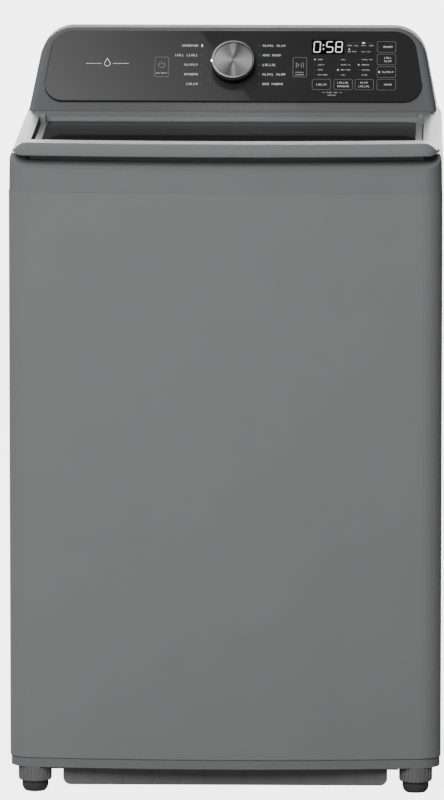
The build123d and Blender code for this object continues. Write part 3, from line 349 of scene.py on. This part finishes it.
SEGMENT_WIDTH = 0.072
SEGMENT_GAP = 0.18
SEGMENT_SLANT = 0.06
DIGITS = {"0": "abcdef", "5": "afgcd", "8": "abcdefg"}


def seven_segments(mesh, u, v, width, height, digit):
    """Digit of slanted bars, lifted clear of the display's window."""
    t = height * SEGMENT_WIDTH
    w, h = width / 2 - t / 2, height / 2 - t / 2
    ends = {"a": ((-w, h), (w, h)), "g": ((-w, 0), (w, 0)), "d": ((-w, -h), (w, -h)),
            "f": ((-w, h), (-w, 0)), "b": ((w, h), (w, 0)),
            "e": ((-w, 0), (-w, -h)), "c": ((w, 0), (w, -h))}
    for name in DIGITS[digit]:
        a, b = Vector(ends[name][0]), Vector(ends[name][1])
        along = (b - a).normalized()
        side = Vector((-along.y, along.x)) * t / 2
        a += along * t * SEGMENT_GAP
        b -= along * t * SEGMENT_GAP
        points = [a, a + along * t / 2 + side, b - along * t / 2 + side, b,
                  b - along * t / 2 - side, a + along * t / 2 - side]
        outline = [(u + p.x + SEGMENT_SLANT * p.y, v + p.y) for p in points]
        add_prism(mesh, outline[::-1], INK, 2 * INK)


def glow(name, strength, base):
    """White print or lit element; print given some emission strength has a painted glow, the lit elements are real
    lamps.
    """
    material, tree, shader = new_material(name)
    drift = noise(tree, 60.0)
    tree.links.new(ramp(tree, drift, base * 0.95, base), shader.inputs["Base Color"])
    shader.inputs["Emission Color"].default_value = (1, 1, 1, 1)
    shader.inputs["Emission Strength"].default_value = strength
    shader.inputs["Roughness"].default_value = 0.4
    return material


def finish_print(name, mesh, material):
    """Turn the collected shapes into a piece that rides on the cabinet."""
    return add_piece(name, mesh, material, "cabinet")


# ---------------------------------------------------------------- printed controls

LABEL_H = 4.3
KEY_H = 0.85 * LABEL_H
WIDE_KEY_H = 0.9 * LABEL_H
SMALL_H = 2.3
TINY_H = 0.9 * SMALL_H

# Programme names on both sides of the knob, -1 left and 1 right, with a lamp beside each.
PROGRAM_WIDTHS = {-1: (25.4, 36.8, 22.1, 21.3, 18.8), 1: (36.3, 30.9, 22.9, 37.1, 33.0)}
PROGRAM_U = {-1: -57.3, 1: 48.0}
PROGRAM_V = 37.6
ROW_STEP = 18.0
PROGRAM_LAMP_U = {-1: -51.6, 1: 42.6}
PROGRAM_LAMP = (0.9, 3.4)
LIT_PROGRAM_U = -51.4
LIT_PROGRAM = (2.0, 4.6)

# Power key, start key, and the column of keys at the right end.
POWER_U = -116.9
START_U = 109.0
TALL_KEY_V = -2.6
TALL_KEY = (23.0, 37.2, 3.2)
TALL_KEY_LINE = 0.55
KEY_LINE = 0.5
TALL_KEY_WORDS = ((POWER_U, -14.2, 18), (START_U, -12.3, 15), (START_U, -16.8, 15))
POWER_V = 1.2
POWER_R = 5.0
POWER_LINE = 0.9
POWER_ARC = (125, 415)
POWER_STEM_V = 4.6
POWER_STEM = 6.0
PLAY_V = 1.4
PLAY_OUTER = (-6.4, 5.8, 5.0)
PLAY_INNER = (-5.4, 3.3, 3.0)
PAUSE_SHIFTS = (2.2, 5.8)
PAUSE_BAR = (1.0, 9.6)
SIDE_KEY_U = 250.4
SIDE_KEY_V = (35.9, 12.2, -11.4, -35.0)
SIDE_KEY = (31.0, 20.6, 3.0)
SIDE_WORD_U = 253.0
SIDE_WORD_W = (16.5, 14.0, 19.0, 13.0)
SIDE_LAMP_U = 238.6
SIDE_LAMP = (0.9, 2.6)
LIT_SIDE_KEY = 2
LIT_SIDE_LAMP = (2.0, 3.2)
TWO_LINE_KEY = 1
LINE_HALF = 3.2

# Row of keys under the options, their words, and the note below the first two.
LOW_KEY_U = (144.4, 180.0, 214.4)
LOW_KEY_V = -35.0
LOW_KEY = (30.6, 20.0, 3.0)
ONE_LINE_W = 17
UPPER_LINE = 3.5
UPPER_LINE_W = {1: 18, 2: 14}
LOWER_LINE = -3.3
LOWER_LINE_W = 18
NOTE_U = 162.0
NOTE_LINES = ((-50.0, 19.0), (-54.9, 15.0))
NOTE_RULE_U = (148.0, 176.0)
NOTE_RULE = (4.5, 0.35)

# Three columns of options with a lamp before each; the first, third and second of them are lit.
OPTION_U = (133.4, 171.0, 204.9)
OPTION_V = (11.9, 2.1, -7.5, -16.9)
OPTION_WIDTHS = ((8, 11, 9, 16), (9, 17, 17, 8), (19, 12, 14, 11))
OPTION_LIT = (0, 2, 1)
OPTION_GAP = 5
OPTION_LAMP = (1.5, 0.8)
DOT = 2.2

# Display, and the wash phases and locks beside it.
DISPLAY_U = 154.6
DISPLAY_V = 35.4
DISPLAY = (53.2, 26.9, 1.0)
DIGIT = (11.6, 21.0)
DIGIT_LIFT = 0.2
TIME = ((-17.6, "0"), (2.9, "5"), (18.0, "8"))
COLON_U = -7.4
COLON_HALF = 3.6
PHASE_U = (187.0, 198.0, 209.0, 222.0)
PHASE_V = 38.3
PHASE_WIDTH = 7.5
PHASE_LAMP_U = (190.5, 197.0, 203.0, 221.0, 226.0)
PHASE_LAMP_V = 43.3
PHASE_LAMP = (3.6, 0.9)
LIT_PHASE_U = 212.8
LIT_PHASE = (4.6, 2.4)
LOCK_U = (187.0, 209.5)
LOCK_V = 26.9
LOCK_WIDTH = 15.0
LOCK_LAMP = (189.5, 31.3)


def program_v(row):
    """Height of a programme's row."""
    return PROGRAM_V - ROW_STEP * row


def program_words(mesh):
    """Programme names beside the knob."""
    for side, widths in PROGRAM_WIDTHS.items():
        for row, width in enumerate(widths):
            seed, align = (row, "right") if side < 0 else (row + 2, "left")
            add_word(mesh, PROGRAM_U[side], program_v(row), width, LABEL_H, seed, align)


def key_words(mesh):
    """Names on the keys at the right end and under the options."""
    for key, (v, width) in enumerate(zip(SIDE_KEY_V, SIDE_WORD_W)):
        if key == TWO_LINE_KEY:
            add_word(mesh, SIDE_WORD_U, v + LINE_HALF, width, KEY_H, key, "centre")
            add_word(mesh, SIDE_WORD_U, v - LINE_HALF, width, KEY_H, key + 1, "centre")
        else:
            add_word(mesh, SIDE_WORD_U, v, width, KEY_H, key, "centre")
    add_word(mesh, LOW_KEY_U[0], LOW_KEY_V, ONE_LINE_W, WIDE_KEY_H, 1, "centre")
    for key, width in UPPER_LINE_W.items():
        u = LOW_KEY_U[key]
        add_word(mesh, u, LOW_KEY_V + UPPER_LINE, width, KEY_H, key, "centre")
        add_word(mesh, u, LOW_KEY_V + LOWER_LINE, LOWER_LINE_W, KEY_H, key + 2, "centre")


def small_words(mesh):
    """Options, wash phases, locks, the note, and the lines on the power and start keys."""
    for column, (u, widths) in enumerate(zip(OPTION_U, OPTION_WIDTHS)):
        for row, (v, width) in enumerate(zip(OPTION_V, widths)):
            add_word(mesh, u + OPTION_GAP, v, width, SMALL_H, row + column)
    for i, u in enumerate(PHASE_U):
        add_word(mesh, u, PHASE_V, PHASE_WIDTH, TINY_H, i)
    for i, u in enumerate(LOCK_U):
        add_word(mesh, u, LOCK_V, LOCK_WIDTH, TINY_H, i)
    for line, (v, width) in enumerate(NOTE_LINES):
        add_word(mesh, NOTE_U, v, width, SMALL_H, 2 - line, "centre")
    for u in NOTE_RULE_U:
        add_prism(mesh, bar(u, NOTE_LINES[0][0], *NOTE_RULE))
    for seed, (u, v, width) in enumerate(TALL_KEY_WORDS):
        add_word(mesh, u, v, width, SMALL_H, seed, "centre")


def print_labels():
    """White print: programme names, key names and notes, as stand-in marks."""
    mesh = bmesh.new()
    program_words(mesh)
    key_words(mesh)
    small_words(mesh)
    # The white print glows faintly: painted glow, not a lamp.
    return finish_print("print_labels", mesh, glow("ink_white_painted_glow", 0.2, 0.7))


def key_outline(mesh, u, v, size, line=KEY_LINE):
    """Rounded frame round a touch key."""
    width, height, radius = size
    outer = rounded_bar(u, v, width, height, radius)
    add_band(mesh, outer, rounded_bar(u, v, width - 2 * line, height - 2 * line, radius - KEY_LINE))


def play_triangle(shift, width, half):
    """Triangle that points to the right, from its upright side beside the start key's middle."""
    u = START_U + shift
    return [(u, PLAY_V - half), (u + width, PLAY_V), (u, PLAY_V + half)]


def print_keys():
    """Outlines and icons of the touch keys."""
    mesh = bmesh.new()
    for u in (POWER_U, START_U):
        key_outline(mesh, u, TALL_KEY_V, TALL_KEY, TALL_KEY_LINE)
    for v in SIDE_KEY_V:
        key_outline(mesh, SIDE_KEY_U, v, SIDE_KEY)
    for u in LOW_KEY_U:
        key_outline(mesh, u, LOW_KEY_V, LOW_KEY)
    arc_band(mesh, POWER_U, POWER_V, POWER_R, POWER_LINE, *POWER_ARC)
    add_prism(mesh, bar(POWER_U, POWER_STEM_V, POWER_LINE, POWER_STEM))
    add_band(mesh, play_triangle(*PLAY_OUTER), play_triangle(*PLAY_INNER))
    for shift in PAUSE_SHIFTS:
        add_prism(mesh, bar(START_U + shift, PLAY_V, *PAUSE_BAR))
    return finish_print("print_keys", mesh, glow("ink_line", 0.0, 0.27))


MARK_U = -206.0
MARK_V = 3.5
DROP_R = 5.2
DROP_LINE = 0.9
DROP_POINT = 2.05
DROP_STEPS = 24
RULE = (26.0, 0.7)
RULE_SHIFT = 22


def drop_outline(radius):
    """Round drop with its point up."""
    points = []
    for i in range(DROP_STEPS + 1):
        angle = math.radians(-225 + 270 * i / DROP_STEPS)
        points.append((MARK_U + radius * math.cos(angle), MARK_V + radius * math.sin(angle)))
    return points + [(MARK_U, MARK_V + radius * DROP_POINT)]


def print_mark():
    """Plain water drop between two rules, a generic sign in the maker's place."""
    mesh = bmesh.new()
    add_band(mesh, drop_outline(DROP_R), drop_outline(DROP_R - DROP_LINE))
    for side in (-1, 1):
        add_prism(mesh, bar(MARK_U + side * RULE_SHIFT, MARK_V, *RULE))
    # The printed mark glows faintly: painted glow, not a lamp.
    return finish_print("print_mark", mesh, glow("ink_mark_painted_glow", 0.3, 0.75))


def print_lights():
    """Lit indicators and the display's digits."""
    mesh = bmesh.new()
    add_prism(mesh, bar(LIT_PROGRAM_U, PROGRAM_V, *LIT_PROGRAM))
    for u, row in zip(OPTION_U, OPTION_LIT):
        add_prism(mesh, rounded_bar(u, OPTION_V[row], DOT, DOT, 1.0, 3))
    add_prism(mesh, bar(SIDE_LAMP_U, SIDE_KEY_V[LIT_SIDE_KEY], *LIT_SIDE_LAMP))
    add_prism(mesh, bar(LIT_PHASE_U, PHASE_LAMP_V, *LIT_PHASE))
    add_prism(mesh, rounded_bar(*LOCK_LAMP, DOT, DOT, 1.0, 3))
    for shift, digit in TIME:
        seven_segments(mesh, DISPLAY_U + shift, DISPLAY_V + DIGIT_LIFT, *DIGIT, digit)
    for dv in (-COLON_HALF, COLON_HALF):
        add_prism(mesh, rounded_bar(DISPLAY_U + COLON_U, DISPLAY_V + dv, DOT, DOT, 0.6, 3), INK, 2 * INK)
    return finish_print("print_lights", mesh, glow("led_white", 0.7, 0.9))


def print_unlit():
    """Unlit indicators beside the labels."""
    mesh = bmesh.new()
    for side, u in PROGRAM_LAMP_U.items():
        for row in range(len(PROGRAM_WIDTHS[side])):
            if side > 0 or row > 0:
                add_prism(mesh, bar(u, program_v(row), *PROGRAM_LAMP))
    for u, lit in zip(OPTION_U, OPTION_LIT):
        for row, v in enumerate(OPTION_V):
            if row != lit:
                add_prism(mesh, bar(u, v, *OPTION_LAMP))
    for u in PHASE_LAMP_U:
        add_prism(mesh, bar(u, PHASE_LAMP_V, *PHASE_LAMP))
    for key, v in enumerate(SIDE_KEY_V):
        if key != LIT_SIDE_KEY:
            add_prism(mesh, bar(SIDE_LAMP_U, v, *SIDE_LAMP))
    return finish_print("print_unlit", mesh, glow("led_off", 0.0, 0.09))


def display_window():
    """Black window behind the digits."""
    mesh = bmesh.new()
    add_prism(mesh, rounded_bar(DISPLAY_U, DISPLAY_V, *DISPLAY))
    black = plastic("display_black", (0.001, 0.001, 0.001), 0.3, relief=0.0, index=1.1)
    return finish_print("display_window", mesh, black)


display_window()
print_labels()
print_keys()
print_mark()
print_lights()
print_unlit()


# ---------------------------------------------------------------- basket, springs and knob face

HOLE_R = 0.0019
HOLE_SIDES = 8
COLUMNS = 72
WALL_ROWS = 25
FLOOR_RINGS = 9
RIBS = 12
RIB_DEPTH = 0.0035
RIB_FADE = 0.06
HUB_R = 0.031
BEND_WIDTH = 0.018
BEND_HEIGHT = 0.020
BEND_STEPS = 4
SHEET = 0.0009
WALL_INSET = 0.0012
END_INSET = 0.001
WELD = 0.00002


def hole_point(k):
    """Offset of one of the points round a hole; the first, 0, is no offset."""
    if not k:
        return 0, 0
    angle = math.radians(360 / HOLE_SIDES * k + 180)
    return HOLE_R * math.cos(angle), HOLE_R * math.sin(angle)


def hole_cell(mesh, place, column, row, with_hole):
    """One cell of pierced sheet: a square of steel around an eight-sided hole."""
    square = [(0, 0), (0.5, 0), (1, 0), (1, 0.5), (1, 1), (0.5, 1), (0, 1), (0, 0.5)]
    outer = [mesh.verts.new(place(column + a, row + b, 0)) for a, b in square]
    if not with_hole:
        mesh.faces.new(outer)
        return
    inner = [mesh.verts.new(place(column + 0.5, row + 0.5, k)) for k in range(1, HOLE_SIDES + 1)]
    for k in range(HOLE_SIDES):
        j = (k + 1) % HOLE_SIDES
        mesh.faces.new((outer[k], outer[j], inner[j], inner[k]))


def pierced_basket():
    """Stainless wash basket: pressed ribs and rows of drain holes in its wall and floor."""
    low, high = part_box("basket")
    centre_y = (low[1] + high[1]) / 2
    radius = (high[0] - low[0]) / 2 - WALL_INSET
    floor_z = low[2] + END_INSET
    wall_low = low[2] + BEND_HEIGHT
    wall_high = high[2] - END_INSET
    bend_r = radius - BEND_WIDTH
    turn = 2 * math.pi / COLUMNS

    def wall(column, row, k):
        along, up = hole_point(k)
        height = (wall_high - wall_low) * row / WALL_ROWS + up
        angle = turn * column + along / radius
        fade = min(height, wall_high - wall_low - height) / RIB_FADE
        rib = RIB_DEPTH * min(max(fade, 0), 1) * max(math.cos(angle * RIBS), 0) ** 4
        r = radius - rib
        return (r * math.cos(angle), centre_y + r * math.sin(angle), wall_low + height)

    def floor(column, row, k):
        along, out = hole_point(k)
        r = HUB_R + (bend_r - HUB_R) * row / FLOOR_RINGS
        angle = turn * 2 * column + along / r
        r += out
        return (r * math.cos(angle), centre_y + r * math.sin(angle), floor_z)

    def bend(column, level):
        bent = math.radians(90 * level / BEND_STEPS)
        r = bend_r + BEND_WIDTH * math.sin(bent)
        angle = turn / 2 * column
        z = floor_z + (wall_low - floor_z) * (1 - math.cos(bent))
        return (r * math.cos(angle), centre_y + r * math.sin(angle), z)

    mesh = bmesh.new()
    for column in range(COLUMNS):
        for row in range(WALL_ROWS):
            with_hole = 1 < row < WALL_ROWS - 1 and (column + row) % 2 == 0 and column % 6 != 0
            hole_cell(mesh, wall, column, row, with_hole)
    for column in range(COLUMNS // 2):
        for row in range(FLOOR_RINGS):
            hole_cell(mesh, floor, column, row, row > 2 and (column + row) % 2 == 0)
    for column in range(2 * COLUMNS):
        for level in range(BEND_STEPS):
            corners = ((column, level), (column + 1, level), (column + 1, level + 1), (column, level + 1))
            mesh.faces.new([mesh.verts.new(bend(*corner)) for corner in corners])
    bmesh.ops.remove_doubles(mesh, verts=mesh.verts, dist=WELD)
    piece = add_piece("pierced_basket", mesh, MATERIALS["basket_steel"], "basket")
    piece.data.shade_smooth()
    sheet = piece.modifiers.new("solidify", "SOLIDIFY")
    sheet.thickness = SHEET
    sheet.offset = -1.0
    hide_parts("basket")


SPRING_WIRE = 0.002
SPRING_RADIUS = 0.014
SPRING_TURNS = 6
TURN_STEPS = 28
WIRE_SIDES = 8
FLAT_END = 0.09


def suspension_coils():
    """Four compression springs against the rods' plates."""
    low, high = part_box("suspension_springs")
    inset = SPRING_RADIUS + SPRING_WIRE
    mesh = bmesh.new()
    for x in (low[0] + inset, high[0] - inset):
        for y in (low[1] + inset, high[1] - inset):
            add_coil(mesh, x, y, low[2] + SPRING_WIRE, high[2] - SPRING_WIRE)
    piece = add_piece("suspension_coils", mesh, MATERIALS["spring_steel"], "cabinet")
    piece.data.shade_smooth()
    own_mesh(piece)
    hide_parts("suspension_springs")


def add_coil(mesh, x, y, z0, z1):
    """Helix of round wire with closed, flat end turns."""
    steps = SPRING_TURNS * TURN_STEPS
    rings = []
    for i in range(steps + 1):
        share = i / steps
        angle = 2 * math.pi * SPRING_TURNS * share
        rise = min(max((share - FLAT_END) / (1 - 2 * FLAT_END), 0), 1)
        out = Vector((math.cos(angle), math.sin(angle), 0))
        reach_x, reach_y = SPRING_RADIUS * math.cos(angle), SPRING_RADIUS * math.sin(angle)
        centre = Vector((x + reach_x, y + reach_y, z0 + (z1 - z0) * rise))
        ring = []
        for k in range(WIRE_SIDES):
            around = 2 * math.pi * k / WIRE_SIDES
            aside = out * math.cos(around) + UP * math.sin(around)
            ring.append(mesh.verts.new(centre + SPRING_WIRE * aside))
        rings.append(ring)
    for a, b in zip(rings, rings[1:]):
        for k in range(WIRE_SIDES):
            j = (k + 1) % WIRE_SIDES
            mesh.faces.new((a[k], a[j], b[j], b[k]))
    mesh.faces.new(rings[0][::-1])
    mesh.faces.new(rings[-1])


KNOB_STEPS = 96
GROOVES = 26
GROOVE_DEPTH = 0.00005
FACE_BEVEL = 0.0006
FACE_CENTRE = 0.0004


def knob_profile():
    """Rim, bevel and fine grooves of the knob's face, as radius and height from the fascia's knob point."""
    face = NODES["knob_face"].data
    heights = [(v.co - FACE_POINT).dot(FACE_OUT) for v in face.vertices]
    low, high = min(heights), max(heights)
    radius = max((v.co - FACE_POINT - FACE_OUT * h).length for v, h in zip(face.vertices, heights))
    profile = [(radius, low), (radius, high - FACE_BEVEL), (radius - FACE_BEVEL, high)]
    for i in range(GROOVES, -1, -1):
        r = (radius - 2 * FACE_BEVEL) * i / GROOVES
        profile.append((max(r, FACE_CENTRE), high - (GROOVE_DEPTH if i % 2 else 0.0)))
    return profile


def turned_knob_face():
    """Aluminium disc with fine turned grooves; its UV map runs round the axis for the brushed sheen."""
    mesh = bmesh.new()
    uv = mesh.loops.layers.uv.new("around")
    rings = []
    for r, h in knob_profile():
        ring = []
        for k in range(KNOB_STEPS):
            angle = 2 * math.pi * k / KNOB_STEPS
            side = FACE_RIGHT * math.cos(angle) + FACE_UP * math.sin(angle)
            ring.append(mesh.verts.new(FACE_POINT + side * r + FACE_OUT * h))
        rings.append(ring)
    for i, (a, b) in enumerate(zip(rings, rings[1:])):
        for k in range(KNOB_STEPS):
            j = (k + 1) % KNOB_STEPS
            quad = mesh.faces.new((a[k], a[j], b[j], b[k]))
            for loop, (u, v) in zip(quad.loops, ((k, i), (k + 1, i), (k + 1, i + 1), (k, i + 1))):
                loop[uv].uv = (u / KNOB_STEPS, v / len(rings))
    mesh.faces.new(rings[-1])
    mesh.faces.new(rings[0][::-1])
    piece = add_piece("turned_knob_face", mesh, turned_metal(), "knob")
    piece.data.shade_smooth()
    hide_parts("knob_face")


def turned_metal():
    """Aluminium turned on a lathe: its sheen stretches across the grooves and fans out twice; the two bright fans
    are also painted sheen in the base colour.
    """
    material, tree, shader = new_material("turned_aluminium")
    around = add_node(tree, "ShaderNodeUVMap", uv_map="around")
    split = add_node(tree, "ShaderNodeSeparateXYZ")
    tree.links.new(around.outputs["UV"], split.inputs["Vector"])
    angle = map_range(tree, split.outputs["X"], 0.0, 1.0, 0.0, 4 * math.pi)
    painted_sheen_wave = add_node(tree, "ShaderNodeMath", operation="COSINE")
    tree.links.new(angle, painted_sheen_wave.inputs[0])
    # Painted sheen: the base colour is bright at two opposite sides of the axis and dark between them.
    grey = map_range(tree, painted_sheen_wave.outputs[0], -1.0, 1.0, 0.22, 0.8)
    streaks = map_range(tree, noise(tree, 300.0), 0.3, 0.7, 0.96, 1.04)
    tree.links.new(combine(tree, "MULTIPLY", grey, streaks), shader.inputs["Base Color"])
    shader.inputs["Metallic"].default_value = 1.0
    shader.inputs["Roughness"].default_value = 0.28
    shader.inputs["Anisotropic"].default_value = 0.95
    tangent = add_node(tree, "ShaderNodeTangent", direction_type="UV_MAP", uv_map="around")
    tree.links.new(tangent.outputs["Tangent"], shader.inputs["Tangent"])
    return material


pierced_basket()
suspension_coils()
turned_knob_face()


# ---------------------------------------------------------------- light and floor

FLOOR_HALF = 6.0
FLOOR_GLOW = 4.4
BACKDROP = 5.0


def make_floor():
    """Plain pale floor."""
    mesh = bpy.data.meshes.new("floor")
    corners = [(x * FLOOR_HALF, y * FLOOR_HALF, 0) for x, y in ((-1, -1), (1, -1), (1, 1), (-1, 1))]
    mesh.from_pydata(corners, [], [(0, 1, 2, 3)])
    floor = bpy.data.objects.new("floor", mesh)
    bpy.context.scene.collection.objects.link(floor)
    floor.data.materials.append(floor_paint(FLOOR_GLOW))


def floor_paint(glow_seen):
    """Pale matt floor that melts into the backdrop, with a soft shadow under the machine."""
    material, tree, shader = new_material("floor_pale")
    drift = noise(tree, 2.0)
    tree.links.new(ramp(tree, drift, 0.44, 0.46), shader.inputs["Base Color"])
    shader.inputs["Roughness"].default_value = 0.8
    shader.inputs["Emission Color"].default_value = (1, 1, 1, 1)
    ray = add_node(tree, "ShaderNodeLightPath")
    seen = add_node(tree, "ShaderNodeMath", operation="MULTIPLY")
    seen.inputs[1].default_value = glow_seen
    tree.links.new(ray.outputs["Is Camera Ray"], seen.inputs[0])
    tree.links.new(seen.outputs[0], shader.inputs["Emission Strength"])
    return material


def make_world(front, rear, strip, shade, seen):
    """Pale surroundings: bright low down behind the machine, shaded on its right; the backdrop looks even."""
    world = bpy.data.worlds.new("world")
    world.use_nodes = True
    tree = world.node_tree
    surround = tree.nodes["Background"]
    place = add_node(tree, "ShaderNodeTexCoord")
    split = add_node(tree, "ShaderNodeSeparateXYZ")
    tree.links.new(place.outputs["Generated"], split.inputs["Vector"])
    along = map_range(tree, split.outputs["Y"], 0.6, 0.97, front, rear)
    across = map_range(tree, split.outputs["X"], 0.12, 0.5, 1.0, shade)
    behind = map_range(tree, split.outputs["Y"], 0.92, 0.985, 0.0, strip)
    level = combine(tree, "ADD", combine(tree, "MULTIPLY", along, across), behind)
    tree.links.new(level, surround.inputs["Strength"])
    surround.inputs["Color"].default_value = (1, 1, 1, 1)
    backdrop = add_node(tree, "ShaderNodeBackground", Color=(1, 1, 1, 1), Strength=seen)
    ray = add_node(tree, "ShaderNodeLightPath")
    mix = add_node(tree, "ShaderNodeMixShader")
    tree.links.new(ray.outputs["Is Camera Ray"], mix.inputs["Fac"])
    tree.links.new(surround.outputs["Background"], mix.inputs[1])
    tree.links.new(backdrop.outputs["Background"], mix.inputs[2])
    tree.links.new(mix.outputs["Shader"], tree.nodes["World Output"].inputs["Surface"])
    bpy.context.scene.world = world


def rectangle_light(name, place, width, height, power):
    """Rectangular light, facing down until it is turned."""
    data = bpy.data.lights.new(name, "AREA")
    data.shape = "RECTANGLE"
    data.size = width
    data.size_y = height
    data.energy = power
    light = bpy.data.objects.new(name, data)
    light.location = place
    bpy.context.scene.collection.objects.link(light)
    return light


def area_light(name, place, target, size, power, spread=180.0, mirrored=True):
    """Light aimed at a point; spread is its beam in degrees, and one not mirrored leaves no reflection."""
    light = rectangle_light(name, place, *size, power)
    light.data.spread = math.radians(spread)
    light.visible_glossy = mirrored
    light.rotation_euler = (Vector(target) - Vector(place)).to_track_quat("-Z", "Y").to_euler()


def graded_softbox(name, place, turn, size, left, right):
    """Overhead softbox that fades from one edge to the other; its clean edge shows in the glossy fascia."""
    light = rectangle_light(name, place, *size, math.pi * size[0] * size[1])
    light.rotation_euler = (0, 0, math.radians(turn))
    light.data.use_nodes = True
    tree = light.data.node_tree
    place_on_light = add_node(tree, "ShaderNodeNewGeometry")
    split = add_node(tree, "ShaderNodeSeparateXYZ")
    tree.links.new(place_on_light.outputs["Parametric"], split.inputs["Vector"])
    fade = map_range(tree, split.outputs["X"], 0.0, 1.0, left, right)
    tree.links.new(fade, tree.nodes["Emission"].inputs["Strength"])


KNOB_AIM = (0, 0.24, 1.1)
KNOB_LAMP = (0.12, 0.12)
KNOB_BEAM = 4.0

make_floor()
make_world(front=0.1, rear=1.0, strip=11.0, shade=0.04, seen=BACKDROP)
area_light("front_soft", (-1.0, -5.5, 4.4), (0, 0, 0.6), (3.2, 3.2), 410, mirrored=False)
area_light("top_rear", (-0.6, 1.2, 4.0), (0, 0, 1.0), (2.5, 2.5), 25)
area_light("knob_left", (-1.5, -0.41, 2.99), KNOB_AIM, KNOB_LAMP, 0.02, KNOB_BEAM)
area_light("knob_right", (1.5, -0.41, 2.99), KNOB_AIM, KNOB_LAMP, 0.018, KNOB_BEAM)
area_light("left_edge", (-2.95, 1.07, 2.23), (-0.3, 0.25, 1.1), (0.15, 1.0), 40)
graded_softbox("upper_left", (-0.2206, -1.115, 3.6), 33.2, (0.5, 0.8), left=3.4, right=0.55)
